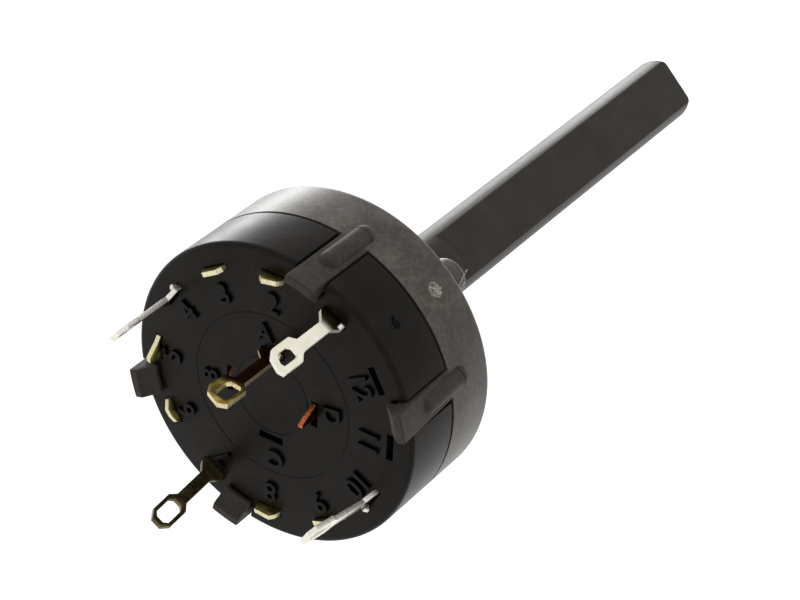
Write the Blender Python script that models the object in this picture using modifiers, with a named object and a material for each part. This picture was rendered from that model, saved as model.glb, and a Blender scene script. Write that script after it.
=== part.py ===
"""Rotary switch, 12 indexed positions at 30 degrees, one pole, ten contacts fitted.

Sizes are in metres and angles in degrees. Every piece is modelled about the
spindle axis with local z running from the panel seat (z = 0) to the terminals,
then parented to an empty that lays the axis along world Y: the shaft points to -Y
and the terminals to +Y. Angles are counted counter-clockwise seen from the
terminals, starting at world -X.
"""
import math

import bmesh
import bpy
from mathutils import Matrix, Vector

# body
BODY_R = 0.013
BODY_DEPTH = 0.01085
SEAM_DEPTH = 0.484 * BODY_DEPTH
SEAM_GAP = 0.0002
FRONT_WALL = 0.0015
FRONT_ROUND = 0.0006
REAR_ROUND = 0.0006
ROUND_STEPS = 4
TURN_STEPS = 72

# working allowances: how far a cutter overshoots, and how deep an added shape is rooted
CUT_MARGIN = 0.0005
ROOT = 0.0004
WELD_DISTANCE = 5e-7
# flat outlines are filled this much larger, because the filler merges points 0.03 mm apart
FILL_SCALE = 1000.0

# threaded bush and its bore
BUSH_R = 0.005
BUSH_LENGTH = 0.0075
BUSH_CHAMFER = 0.0004
THREAD_PITCH = 0.00075
THREAD_DEPTH = 0.00042
THREAD_ROOT_WIDTH = 0.00066
THREAD_CREST_WIDTH = 0.0001
THREAD_SINK = 0.0001
THREAD_START = 0.00048
THREAD_RUNOUT = 0.00102
THREAD_STEPS = 24
SHAFT_R = 0.003
SHAFT_CLEARANCE = 0.00015
SHAFT_LENGTH = 0.0508
SHAFT_CHAMFER = 0.0004
FLAT_HEIGHT = 0.002
FLAT_START = 0.012

# indexing
PITCH = 30.0
POSITION_1 = 57.0
CUP_WALL = 0.00225
DETENT_RISE = 0.00065
STAR_WALL = 0.0005
STAR_STEPS = 8
BALL_R = 0.00119
BALL_BORE_R = 0.0013
BALL_FLOOR = 0.0002
BALL_PEAK_CLEARANCE = 0.00015
DETENT_WIRE_R = 0.00015
DETENT_COIL_R = 0.0009
DETENT_TURNS = 13

# rotor disc, one piece with the shaft
ROTOR_SIDE_GAP = 0.0006
ROTOR_GAP = 0.00025
ROTOR_REAR_GAP = 0.0013
ROTOR_CHAMFER = 0.0002
PIVOT_R = 0.00145
PIVOT_CLEARANCE = 0.00015
PIVOT_LENGTH = 0.002
PIVOT_END_GAP = 0.0003
HUB_WALL = 0.0006

# stops: a moulded block, a rib on the rotor and a washer with a bent tongue
# the groove and the tongue take these shares of the washer's band around the bush
GROOVE_START_SHARE = 0.093
GROOVE_END_SHARE = 0.744
TONGUE_SHARE = 0.372
GROOVE_DEPTH = 0.0006
STOP_SIDE_GAP = 0.0003
STOP_ANGLE_GAP = 1.0
LUG_ANGLE = POSITION_1 + 180.0
LUG_WIDTH_DEG = 14.0
BLOCK_WIDTH_DEG = 12.0
STOP_TRAVEL = 270.0
WASHER_THICKNESS = 0.00045
WASHER_CLEARANCE = 0.00015
RECESS_DEPTH = 0.0006
# outer radius of the washer's recess, as a share of the body's radius
RECESS_SHARE = 0.7154
TONGUE_THICKNESS = 0.0005
TONGUE_LENGTH = 0.0016
TONGUE_SINK = 0.00005
TONGUE_HOLE_CLEARANCE = 0.0002
HOLE_OVERSHOOT = 0.0002
BEND_RELIEF = 0.00015

# rear moulding
BASE_WALL = 0.0025
SPIGOT_THICKNESS = 0.00035
SPIGOT_LENGTH = 0.0006
SPIGOT_CLEARANCE = 0.00015
LINE_RADII = (0.0034, 0.0072)
LINE_WIDTH = 0.0002
LINE_DEPTH = 0.00007

# four clip arms of the front housing
CLIP_ANGLES = (72.0, 192.0, 252.0, 12.0)
CLIP_WIDTH = 0.0025
CLIP_THICKNESS = 0.0011
CLIP_SIDE_GAP = 0.00022
CLIP_FACE_GAP = 0.00012
CLIP_TOP = 0.0016
NOSE_REACH = 0.0006
NOSE_LIP = 0.0003
TIP_THICKNESS = 0.0011
TIP_CHAMFER = 0.00012
RIB_R = 0.00092
RIB_PROUD = 0.00066
RIB_BELOW_SEAM = 0.00215
RIB_BELOW_REAR = 0.0015

# locating peg on the panel seat
PEG_ANGLE = 42.0
PEG_EDGE = 0.0006
PEG_INTO_RECESS = 0.0001
PEG_HEIGHT = 0.0019
PEG_ROUND = 0.0006
PEG_ROOT = 0.001

# terminals, cut from one sheet
SHEET = 0.00042
SLOT_CLEARANCE = 0.0001
HEAD_END_GAP = 0.00045
INNER_RING_R = 0.004
BLADE_WIDTH = 0.00215
INNER_BLADE_WIDTH = 0.00205
CONTACT_GAP = 0.00015
HEAD_LENGTH = 0.00295
SHOULDER_HEIGHT = 0.0005
NECK_HEIGHT = 0.00125
NECK_WIDTH = 0.00104
EYE_START = 0.00465
EYE_SLOPE = 0.00065
EYE_WIDTH = 0.0021
EYE_END = 0.0081
EYE_TIP = 0.00075
EYE_TIP_INSET = 0.00055
EYE_HOLE_WIDTH = 0.0011
EYE_WALL = 0.00062
EYE_CORNER = 0.00034
COMMON_EYE_WIDTH = 0.0028
COMMON_EYE_HOLE_WIDTH = 0.00145
COMMON_EYE_END = 0.0079
EAR_WIDTH = 0.00038
EAR_HEIGHT = 0.0007
EAR_REACH = 0.0003
EAR_ROOT_LOW = 0.00008
EAR_ROOT_HIGH = 0.00042
EAR_TIP_DROP = 0.0002
EAR_TIP_INSET = 0.0002
EAR_SIDE_INSET = 0.00002
BEND = 0.0003
LONG_LUGS = (1, 4, 7, 10)
# how far each terminal leans outward above the rear face
LEANS = {2: 4.0, 3: -14.0, 5: 20.0, 6: 16.0, 8: 4.0, 9: -6.0, 10: -6.5}
STUB_BLANK = 0.002
# cut ends: side height and apex height above the rear face, and apex offset
STUB_ENDS = {2: (0.0007, 0.00095, -0.00035), 3: (0.0006, 0.001, 0.00005),
             5: (0.0005, 0.00135, 0.00025), 6: (0.00075, 0.00115, 0.0001),
             8: (0.00055, 0.00095, -0.0001), 9: (0.0005, 0.0009, 0.0002)}

# common ring with one lug and two short tabs
COMMON_INNER_WIDTH = 0.00095
COMMON_OUTER_WIDTH = 0.00085
COMMON_LUG_ANGLE = 87.0
COMMON_TAB_ANGLES = (177.0, 357.0)
INNER_SLOT_ANGLES = (87.0, 177.0, 267.0, 357.0)
TAB_LOW = 0.00035
TAB_HIGH = 0.0013

# moving contact and its spring
LEAF_WIDTH = 0.0018
LEAF_THICKNESS = 0.0003
LEAF_INNER_REACH = 0.0008
LEAF_OUTER_REACH = 0.0017
LEAF_SLOT_WIDTH = 0.0022
LEAF_SLOT_DEPTH = 0.00075
LEAF_REST_GAP = 0.0002
LEAF_RAMP_IN = 0.0017
LEAF_RAMP_OUT = 0.0019
TOE_LENGTH = 0.001
# the toe at either end of the leaf, in shares of its length, from the tip to the straight part
TOE_INNER = ((-0.2, -0.35), (0.15, -0.05), (0.5, 0.0), (0.85, -0.05))
TOE_OUTER = ((-0.95, -0.05), (-0.6, 0.0), (-0.25, -0.05), (0.05, -0.35))
CONTACT_SPRING_R = 0.00075
CONTACT_WIRE_R = 0.00012
CONTACT_SPRING_TURNS = 5
SPRING_HOLE_R = 0.00105
# share of the rotor's thickness
SPRING_HOLE_SHARE = 0.485
SPRING_END_GAP = 0.00015

# levels along the axis, from the panel seat
REAR_FACE = BODY_DEPTH
BASE_FLOOR = BODY_DEPTH - BASE_WALL
HEAD_TOP = BASE_FLOOR - CONTACT_GAP
HEAD_LOW = HEAD_TOP - SHEET
ROTOR_FRONT = FRONT_WALL + ROTOR_GAP
ROTOR_REAR = BASE_FLOOR - ROTOR_REAR_GAP
BLOCK_TOP = ROTOR_FRONT + GROOVE_DEPTH - STOP_SIDE_GAP
BALL_DEPTH = ROTOR_FRONT + GROOVE_DEPTH + BALL_FLOOR + BALL_BORE_R
SPRING_HOLE_DEPTH = SPRING_HOLE_SHARE * (ROTOR_REAR - ROTOR_FRONT)
RIB_START = SEAM_DEPTH - RIB_BELOW_SEAM
RIB_END = REAR_FACE - RIB_BELOW_REAR

# radii, from the body inwards
CLIP_INNER_R = BODY_R - CLIP_THICKNESS
SPIGOT_R = CLIP_INNER_R - SPIGOT_CLEARANCE
BASE_SKIRT_INNER_R = SPIGOT_R - SPIGOT_THICKNESS
OUTER_RING_R = BASE_SKIRT_INNER_R - HEAD_END_GAP
HEAD_INNER_R = OUTER_RING_R - HEAD_LENGTH
VALLEY_R = BODY_R - CUP_WALL
STAR_OUTER_R = VALLEY_R + STAR_WALL
PEAK_R = VALLEY_R - DETENT_RISE
ROTOR_R = PEAK_R - ROTOR_SIDE_GAP
BALL_REST_R = PEAK_R - BALL_PEAK_CLEARANCE - BALL_R
RECESS_OUTER_R = RECESS_SHARE * BODY_R
BUSH_CORE_R = BUSH_R - THREAD_DEPTH
PEG_R = (BODY_R - RECESS_OUTER_R - PEG_EDGE + PEG_INTO_RECESS) / 2
PEG_RADIUS = BODY_R - PEG_EDGE - PEG_R
WASHER_BAND = RECESS_OUTER_R - BUSH_R
GROOVE_INNER_R = BUSH_R + GROOVE_START_SHARE * WASHER_BAND
GROOVE_OUTER_R = BUSH_R + GROOVE_END_SHARE * WASHER_BAND
STOP_RADIUS = (GROOVE_INNER_R + GROOVE_OUTER_R) / 2
TONGUE_WIDTH = TONGUE_SHARE * WASHER_BAND
COMMON_INNER_R = INNER_RING_R - COMMON_INNER_WIDTH
COMMON_OUTER_R = INNER_RING_R + COMMON_OUTER_WIDTH
LEAF_INNER_R = INNER_RING_R - LEAF_INNER_REACH
LEAF_OUTER_R = OUTER_RING_R - LEAF_OUTER_REACH
CONTACT_SPRING_RADIUS = (LEAF_INNER_R + LEAF_OUTER_R) / 2

# planes that a flat outline is drawn in: along a radius, and across it
ALONG_RADIUS = Matrix(((1, 0, 0, 0), (0, 0, -1, 0), (0, 1, 0, 0), (0, 0, 0, 1)))
ACROSS_RADIUS = Matrix(((0, 0, 1, 0), (1, 0, 0, 0), (0, 1, 0, 0), (0, 0, 0, 1)))


def clear_scene():
    for item in list(bpy.data.objects):
        bpy.data.objects.remove(item, do_unlink=True)


def make_collection(name):
    group = bpy.data.collections.new(name)
    bpy.context.scene.collection.children.link(group)
    return group


def make_material(name, colour, roughness, metallic):
    material = bpy.data.materials.new(name)
    material.use_nodes = True
    shader = material.node_tree.nodes["Principled BSDF"]
    shader.inputs["Base Color"].default_value = (*colour, 1.0)
    shader.inputs["Roughness"].default_value = roughness
    shader.inputs["Metallic"].default_value = metallic
    return material


def finish(name, mesh, angle=0.0, origin=(0.0, 0.0, 0.0)):
    """Make an object of a mesh about the axis, turned to its position angle."""
    local = Vector(origin)
    mesh.transform(Matrix.Translation(-local))
    piece = bpy.data.objects.new(name, mesh)
    turn = Matrix.Rotation(math.radians(angle), 4, "Z")
    piece.parent = switch_frame
    piece.location = turn @ local
    piece.rotation_euler = (0.0, 0.0, math.radians(angle))
    cutters.objects.link(piece)
    piece.hide_render = True
    piece.display_type = "WIRE"
    return piece


def as_node(piece, material, smooth=True):
    """Move a finished piece from the helpers to the switch."""
    cutters.objects.unlink(piece)
    parts.objects.link(piece)
    piece.hide_render = False
    piece.display_type = "TEXTURED"
    piece.data.materials.clear()
    piece.data.materials.append(material)
    if smooth:
        piece.data.shade_smooth()
        piece.data.set_sharp_from_angle(angle=math.radians(35))
    return piece


def boolean(piece, other, operation):
    modifier = piece.modifiers.new(other.name, "BOOLEAN")
    modifier.operation = operation
    modifier.object = other
    modifier.solver = "EXACT"


def cut(piece, *others):
    for other in others:
        boolean(piece, other, "DIFFERENCE")


def weld(mesh):
    shape = bmesh.new()
    shape.from_mesh(mesh)
    bmesh.ops.remove_doubles(shape, verts=shape.verts, dist=WELD_DISTANCE)
    bmesh.ops.recalc_face_normals(shape, faces=shape.faces)
    shape.to_mesh(mesh)
    shape.free()
    return mesh


def turned(name, profile, steps=TURN_STEPS, closed=True):
    """Turn a profile of (radius, z) points, given down its outer side, about z."""
    outline = bpy.data.meshes.new(name + "_profile")
    edges = [(i, i + 1) for i in range(len(profile) - 1)]
    if closed:
        edges.append((len(profile) - 1, 0))
    outline.from_pydata([(r, 0.0, z) for r, z in profile], edges, [])
    carrier = bpy.data.objects.new(name + "_profile", outline)
    bpy.context.scene.collection.objects.link(carrier)
    screw = carrier.modifiers.new("turn", "SCREW")
    screw.axis = "Z"
    screw.angle = math.tau
    screw.steps = steps
    screw.render_steps = steps
    screw.use_merge_vertices = True
    screw.merge_threshold = WELD_DISTANCE
    return take_mesh(carrier, name)


def prism(name, outline, low, high, holes=(), plane=None):
    """Extrude a flat outline, with any holes, from low to high across its plane."""
    curve = bpy.data.curves.new(name + "_outline", "CURVE")
    curve.dimensions = "2D"
    curve.fill_mode = "BOTH"
    curve.extrude = (high - low) / 2 * FILL_SCALE
    for loop in (outline, *holes):
        spline = curve.splines.new("POLY")
        spline.points.add(len(loop) - 1)
        for point, (x, y) in zip(spline.points, loop):
            point.co = (x * FILL_SCALE, y * FILL_SCALE, 0.0, 1.0)
        spline.use_cyclic_u = True
    carrier = bpy.data.objects.new(name + "_outline", curve)
    bpy.context.scene.collection.objects.link(carrier)
    mesh = take_mesh(carrier, name)
    mesh.transform(Matrix.Translation((0.0, 0.0, (high + low) / 2)) @ Matrix.Scale(1 / FILL_SCALE, 4))
    if plane is not None:
        mesh.transform(plane)
    return mesh


def coil(name, radius, wire, turns, low, high, points_per_turn=12):
    """A closed helical spring along z, its wire a POLY curve with a round bevel."""
    curve = bpy.data.curves.new(name + "_wire", "CURVE")
    curve.dimensions = "3D"
    curve.bevel_depth = wire
    curve.bevel_resolution = 1
    curve.use_fill_caps = True
    count = turns * points_per_turn
    spline = curve.splines.new("POLY")
    spline.points.add(count)
    for i, point in enumerate(spline.points):
        angle = math.tau * i / points_per_turn
        height = low + wire + (high - low - 2 * wire) * i / count
        point.co = (radius * math.cos(angle), radius * math.sin(angle), height, 1.0)
    carrier = bpy.data.objects.new(name + "_wire", curve)
    bpy.context.scene.collection.objects.link(carrier)
    return take_mesh(carrier, name)


def take_mesh(carrier, name):
    """Turn a carrier object into a welded mesh and remove the carrier."""
    graph = bpy.context.evaluated_depsgraph_get()
    graph.update()
    mesh = bpy.data.meshes.new_from_object(carrier.evaluated_get(graph))
    mesh.name = name
    bpy.data.objects.remove(carrier, do_unlink=True)
    return weld(mesh)


def merged(name, meshes):
    """One mesh of several shapes that don't touch, for a helper."""
    shape = bmesh.new()
    for mesh in meshes:
        shape.from_mesh(mesh)
    whole = bpy.data.meshes.new(name)
    shape.to_mesh(whole)
    shape.free()
    return whole


def turned_copy(mesh, angle):
    copy = mesh.copy()
    copy.transform(Matrix.Rotation(math.radians(angle), 4, "Z"))
    return copy


def arc(centre_x, centre_y, radius, start, end, steps):
    points = []
    for i in range(steps + 1):
        angle = math.radians(start + (end - start) * i / steps)
        points.append((centre_x + radius * math.cos(angle),
                       centre_y + radius * math.sin(angle)))
    return points


def sector(inner, outer, start, end, step=4.0):
    """Outline of a ring sector between two angles."""
    count = max(2, math.ceil((end - start) / step))
    return arc(0, 0, outer, start, end, count) + arc(0, 0, inner, end, start, count)


def box_outline(x0, x1, y0, y1):
    return [(x0, y0), (x1, y0), (x1, y1), (x0, y1)]


def sheet_profile(path, thickness):
    """Outline of a bent strip of sheet whose middle follows a path."""
    left, right = [], []
    for i, point in enumerate(path):
        here = Vector(point)
        before = Vector(path[max(i - 1, 0)])
        after = Vector(path[min(i + 1, len(path) - 1)])
        ahead = (after - here).normalized() if i < len(path) - 1 else (here - before).normalized()
        behind = (here - before).normalized() if i > 0 else ahead
        tangent = (ahead + behind).normalized()
        normal = Vector((-tangent.y, tangent.x))
        reach = thickness / 2 / max(0.3, normal.dot(Vector((-ahead.y, ahead.x))))
        left.append(tuple(here + normal * reach))
        right.append(tuple(here - normal * reach))
    return left + right[::-1]


def make_front_housing():
    """Cup, threaded bush, detent ring, stops and four snap arms, in one moulding."""
    face_gap = REAR_FACE + CLIP_FACE_GAP
    tip = REAR_FACE + CLIP_TOP
    star_top = SEAM_DEPTH - SEAM_GAP / 2
    rebate = SEAM_DEPTH - SPIGOT_LENGTH - SPIGOT_CLEARANCE
    bore = SHAFT_R + SHAFT_CLEARANCE
    rounding = arc(BODY_R - FRONT_ROUND, FRONT_ROUND, FRONT_ROUND, 0, -90, ROUND_STEPS)
    profile = [(BODY_R - TIP_CHAMFER, tip), (BODY_R, tip - TIP_CHAMFER)] + rounding + [
        (RECESS_OUTER_R, 0.0), (RECESS_OUTER_R, RECESS_DEPTH), (BUSH_CORE_R, RECESS_DEPTH),
        (BUSH_CORE_R, -BUSH_LENGTH), (bore + BUSH_CHAMFER, -BUSH_LENGTH), (bore, -BUSH_LENGTH + BUSH_CHAMFER),
        (bore, star_top), (STAR_OUTER_R, star_top), (STAR_OUTER_R, rebate),
        (CLIP_INNER_R, rebate), (CLIP_INNER_R, face_gap),
        (CLIP_INNER_R - NOSE_REACH, face_gap),
        (CLIP_INNER_R - NOSE_REACH, face_gap + NOSE_LIP),
        (BODY_R - TIP_THICKNESS, tip)]
    housing = finish("front_housing", turned("front_housing", profile))
    boolean(housing, finish("bush_thread", thread_ridge()), "UNION")

    # between the arms the skirt ends at the seam
    gaps = []
    half = CLIP_WIDTH / 2
    inner, outer = CLIP_INNER_R - NOSE_REACH - CUT_MARGIN, BODY_R + CUT_MARGIN
    order = sorted(CLIP_ANGLES)
    for start, end in zip(order, order[1:] + [order[0] + 360.0]):
        low = [start + math.degrees(math.asin(half / r)) for r in (inner, outer)]
        high = [end - math.degrees(math.asin(half / r)) for r in (inner, outer)]
        count = round((end - start) / 5)
        outline = arc(0, 0, outer, low[1], high[1], count) + arc(0, 0, inner, high[0], low[0], count)
        gaps.append(prism("arm_gap", outline, SEAM_DEPTH, tip + CUT_MARGIN))
    cut(housing, finish("arm_gaps", merged("arm_gaps", gaps)))

    # twelve rounded valleys that the balls drop into
    star = []
    for i in range(12 * STAR_STEPS):
        angle = math.radians(POSITION_1) + math.tau * i / (12 * STAR_STEPS)
        wave = math.cos(math.tau * i / STAR_STEPS)
        radius = (VALLEY_R + PEAK_R) / 2 + (VALLEY_R - PEAK_R) / 2 * wave
        star.append((radius * math.cos(angle), radius * math.sin(angle)))
    cut(housing, finish("detent_star", prism("detent_star", star, FRONT_WALL, star_top + CUT_MARGIN)))

    # fixed stop on the floor of the cup
    block_end = LUG_ANGLE - LUG_WIDTH_DEG / 2 - STOP_ANGLE_GAP
    block = sector(GROOVE_INNER_R + STOP_SIDE_GAP, GROOVE_OUTER_R - STOP_SIDE_GAP,
                   block_end - BLOCK_WIDTH_DEG, block_end)
    boolean(housing, finish("stop_block", prism("stop_block", block, FRONT_WALL - ROOT, BLOCK_TOP)), "UNION")

    # holes for the tongue of the stop washer, one for each number of positions
    holes = []
    reach = TONGUE_WIDTH / 2 + TONGUE_HOLE_CLEARANCE
    hole_half = TONGUE_THICKNESS / 2 + TONGUE_HOLE_CLEARANCE
    for i in range(11):
        window = prism("hole", box_outline(STOP_RADIUS - reach, STOP_RADIUS + reach, -hole_half, hole_half),
                       RECESS_DEPTH - ROOT, FRONT_WALL + HOLE_OVERSHOOT)
        holes.append(turned_copy(window, tongue_angle() - PITCH * i))
    cut(housing, finish("stop_holes", merged("stop_holes", holes)))

    rounding = arc(PEG_R - PEG_ROUND, -PEG_HEIGHT + PEG_ROUND, PEG_ROUND, 0, -90, 3)
    peg = [(0.0, PEG_ROOT), (PEG_R, PEG_ROOT)] + rounding + [(0.0, -PEG_HEIGHT)]
    peg_mesh = turned("locating_peg", peg, steps=24, closed=False)
    peg_mesh.transform(Matrix.Translation((PEG_RADIUS, 0.0, 0.0)))
    boolean(housing, finish("locating_peg", peg_mesh, PEG_ANGLE), "UNION")

    ribs = []
    rib = arc(0, RIB_END - RIB_R, RIB_R, 90, 0, 4) + arc(0, RIB_START + RIB_R, RIB_R, 0, -90, 4)
    for angle in CLIP_ANGLES:
        capsule = turned("rib", rib, steps=20, closed=False)
        capsule.transform(Matrix.Translation((BODY_R + RIB_PROUD - RIB_R, 0.0, 0.0)))
        ribs.append(turned_copy(capsule, angle))
    boolean(housing, finish("arm_ribs", merged("arm_ribs", ribs)), "UNION")
    return as_node(housing, black_plastic)


def thread_ridge():
    """Right-hand thread of the bush: one section carried up and round, cut to the chamfer."""
    root, crest = THREAD_ROOT_WIDTH / 2, THREAD_CREST_WIDTH / 2
    inner = BUSH_CORE_R - THREAD_SINK
    section = ((inner, -root), (BUSH_R, -crest), (BUSH_R, crest), (inner, root))
    steps = round((BUSH_LENGTH - THREAD_START - THREAD_RUNOUT) / THREAD_PITCH * THREAD_STEPS)
    points, faces = [], [(3, 2, 1, 0)]
    for i in range(steps + 1):
        angle = math.tau * i / THREAD_STEPS
        for radius, rise in section:
            above_end = THREAD_START + THREAD_PITCH * i / THREAD_STEPS + rise
            reach = min(radius, BUSH_R - BUSH_CHAMFER + above_end)
            points.append((reach * math.cos(angle), reach * math.sin(angle), above_end - BUSH_LENGTH))
    for i in range(steps):
        for k in range(4):
            a, b = 4 * i + k, 4 * i + (k + 1) % 4
            faces.append((a, b, b + 4, a + 4))
    faces.append(tuple(range(4 * steps, 4 * steps + 4)))
    mesh = bpy.data.meshes.new("bush_thread")
    mesh.from_pydata(points, [], faces)
    return weld(mesh)


def tongue_angle():
    half = math.degrees(TONGUE_THICKNESS / 2 / STOP_RADIUS)
    return LUG_ANGLE + STOP_TRAVEL + LUG_WIDTH_DEG / 2 + STOP_ANGLE_GAP + half


def make_stop_washer():
    """Flat ring in the recess of the panel seat, its tongue bent through a stop hole."""
    top = RECESS_DEPTH - (RECESS_DEPTH - WASHER_THICKNESS) / 2
    low = top - WASHER_THICKNESS
    inner, outer = BUSH_R + WASHER_CLEARANCE, RECESS_OUTER_R - WASHER_CLEARANCE
    ring = arc(0, 0, outer, 0, 360, 60)[:-1]
    bore = arc(0, 0, inner, 0, 360, 60)[:-1]
    half = TONGUE_WIDTH / 2
    thick = TONGUE_THICKNESS / 2
    window = box_outline(STOP_RADIUS - half - BEND_RELIEF, STOP_RADIUS + half + BEND_RELIEF,
                         thick, thick + TONGUE_LENGTH)
    mesh = prism("stop_washer", ring, low, top, holes=(bore, window))
    washer = finish("stop_washer", mesh, tongue_angle())
    tongue = prism("tongue", box_outline(STOP_RADIUS - half, STOP_RADIUS + half, -thick, thick),
                   low + TONGUE_SINK, BLOCK_TOP)
    boolean(washer, finish("tongue", tongue, tongue_angle()), "UNION")
    return as_node(washer, zinc_steel, smooth=False)


def make_terminal_base():
    """Rear moulding that carries the terminals, notched for the four snap arms."""
    seam = SEAM_DEPTH + SEAM_GAP
    pivot_r = PIVOT_R + PIVOT_CLEARANCE
    pivot_end = ROTOR_REAR + PIVOT_LENGTH + PIVOT_END_GAP
    profile = [(0.0, REAR_FACE)]
    for radius in LINE_RADII:
        profile += [(radius - LINE_WIDTH / 2, REAR_FACE), (radius, REAR_FACE - LINE_DEPTH),
                    (radius + LINE_WIDTH / 2, REAR_FACE)]
    profile += arc(BODY_R - REAR_ROUND, REAR_FACE - REAR_ROUND, REAR_ROUND, 90, 0, ROUND_STEPS)
    profile += [(BODY_R, seam), (SPIGOT_R, seam), (SPIGOT_R, seam - SPIGOT_LENGTH),
                (BASE_SKIRT_INNER_R, seam - SPIGOT_LENGTH), (BASE_SKIRT_INNER_R, BASE_FLOOR),
                (pivot_r, BASE_FLOOR), (pivot_r, pivot_end), (0.0, pivot_end)]
    base = finish("terminal_base", turned("terminal_base", profile, closed=False))

    slots = []
    outer_angles = [POSITION_1 + PITCH * i for i in range(12)]
    for angles, radius, width in ((outer_angles, OUTER_RING_R, BLADE_WIDTH),
                                  (INNER_SLOT_ANGLES, INNER_RING_R, INNER_BLADE_WIDTH)):
        half_r = SHEET / 2 + SLOT_CLEARANCE
        half_w = width / 2 + SLOT_CLEARANCE
        slot = prism("slot", box_outline(radius - half_r, radius + half_r, -half_w, half_w),
                     BASE_FLOOR - CUT_MARGIN, REAR_FACE + CUT_MARGIN)
        slots += [turned_copy(slot, angle) for angle in angles]
    cut(base, finish("slots", merged("slots", slots)))

    half = CLIP_WIDTH / 2 + CLIP_SIDE_GAP
    notch = prism("notch", box_outline(SPIGOT_R, BODY_R + CUT_MARGIN, -half, half),
                  SEAM_DEPTH - SPIGOT_LENGTH - CUT_MARGIN, REAR_FACE + CUT_MARGIN)
    notches = [turned_copy(notch, angle) for angle in CLIP_ANGLES]
    cut(base, finish("arm_notches", merged("arm_notches", notches)))
    return as_node(base, black_plastic)


def make_spindle():
    """Shaft, rotor disc and rear pivot, moulded in one, with its flat and its bores."""
    chamfer = ROTOR_CHAMFER
    profile = [(0.0, ROTOR_REAR + PIVOT_LENGTH), (PIVOT_R - chamfer, ROTOR_REAR + PIVOT_LENGTH),
               (PIVOT_R, ROTOR_REAR + PIVOT_LENGTH - chamfer), (PIVOT_R, ROTOR_REAR),
               (ROTOR_R - chamfer, ROTOR_REAR), (ROTOR_R, ROTOR_REAR - chamfer),
               (ROTOR_R, ROTOR_FRONT + chamfer), (ROTOR_R - chamfer, ROTOR_FRONT),
               (SHAFT_R, ROTOR_FRONT), (SHAFT_R, -SHAFT_LENGTH + SHAFT_CHAMFER),
               (SHAFT_R - SHAFT_CHAMFER, -SHAFT_LENGTH), (0.0, -SHAFT_LENGTH)]
    spindle = finish("spindle", turned("spindle", profile, steps=64, closed=False))

    side = SHAFT_R + CUT_MARGIN
    flat = prism("shaft_flat", box_outline(FLAT_HEIGHT, side, -side, side),
                 -SHAFT_LENGTH - CUT_MARGIN, -FLAT_START)
    cut(spindle, finish("shaft_flat", flat, PEG_ANGLE))

    bore = prism("ball_bore", arc(0, 0, BALL_BORE_R, 0, 360, 20)[:-1],
                 -ROTOR_R - CUT_MARGIN, ROTOR_R + CUT_MARGIN)
    bore.transform(Matrix.Translation((0.0, 0.0, BALL_DEPTH)) @ Matrix.Rotation(math.radians(90), 4, "Y"))
    cut(spindle, finish("ball_bore", bore, POSITION_1 + 90.0))

    start = LUG_ANGLE + LUG_WIDTH_DEG / 2
    groove = sector(GROOVE_INNER_R, GROOVE_OUTER_R, start, start + 360.0 - LUG_WIDTH_DEG, step=6.0)
    cut(spindle, finish("stop_groove", prism("stop_groove", groove, ROTOR_FRONT - CUT_MARGIN,
                                             ROTOR_FRONT + GROOVE_DEPTH)))

    half = LEAF_SLOT_WIDTH / 2
    slot = prism("leaf_slot", box_outline(PIVOT_R + HUB_WALL, ROTOR_R + CUT_MARGIN, -half, half),
                 ROTOR_REAR - LEAF_SLOT_DEPTH, ROTOR_REAR + CUT_MARGIN)
    cut(spindle, finish("leaf_slot", slot, POSITION_1))
    hole = prism("spring_hole", arc(CONTACT_SPRING_RADIUS, 0, SPRING_HOLE_R, 0, 360, 20)[:-1],
                 ROTOR_REAR - LEAF_SLOT_DEPTH - SPRING_HOLE_DEPTH, ROTOR_REAR)
    cut(spindle, finish("spring_hole", hole, POSITION_1))
    return as_node(spindle, black_plastic)


def make_detent():
    """Two steel balls pressed outward by one spring through the rotor."""
    for number, angle in ((1, POSITION_1 + 90.0), (2, POSITION_1 + 270.0)):
        shape = bmesh.new()
        bmesh.ops.create_uvsphere(shape, u_segments=20, v_segments=12, radius=BALL_R)
        mesh = bpy.data.meshes.new(f"detent_ball_{number}")
        shape.to_mesh(mesh)
        shape.free()
        centre = (BALL_REST_R, 0.0, BALL_DEPTH)
        mesh.transform(Matrix.Translation(centre))
        as_node(finish(f"detent_ball_{number}", mesh, angle, centre), polished_steel)
    reach = BALL_REST_R - BALL_R - SPRING_END_GAP
    mesh = coil("detent_spring", DETENT_COIL_R, DETENT_WIRE_R, DETENT_TURNS, -reach, reach)
    mesh.transform(Matrix.Translation((0.0, 0.0, BALL_DEPTH)) @ Matrix.Rotation(math.radians(90), 4, "Y"))
    as_node(finish("detent_spring", mesh, POSITION_1 + 90.0, (0.0, 0.0, BALL_DEPTH)), spring_steel)


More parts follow.
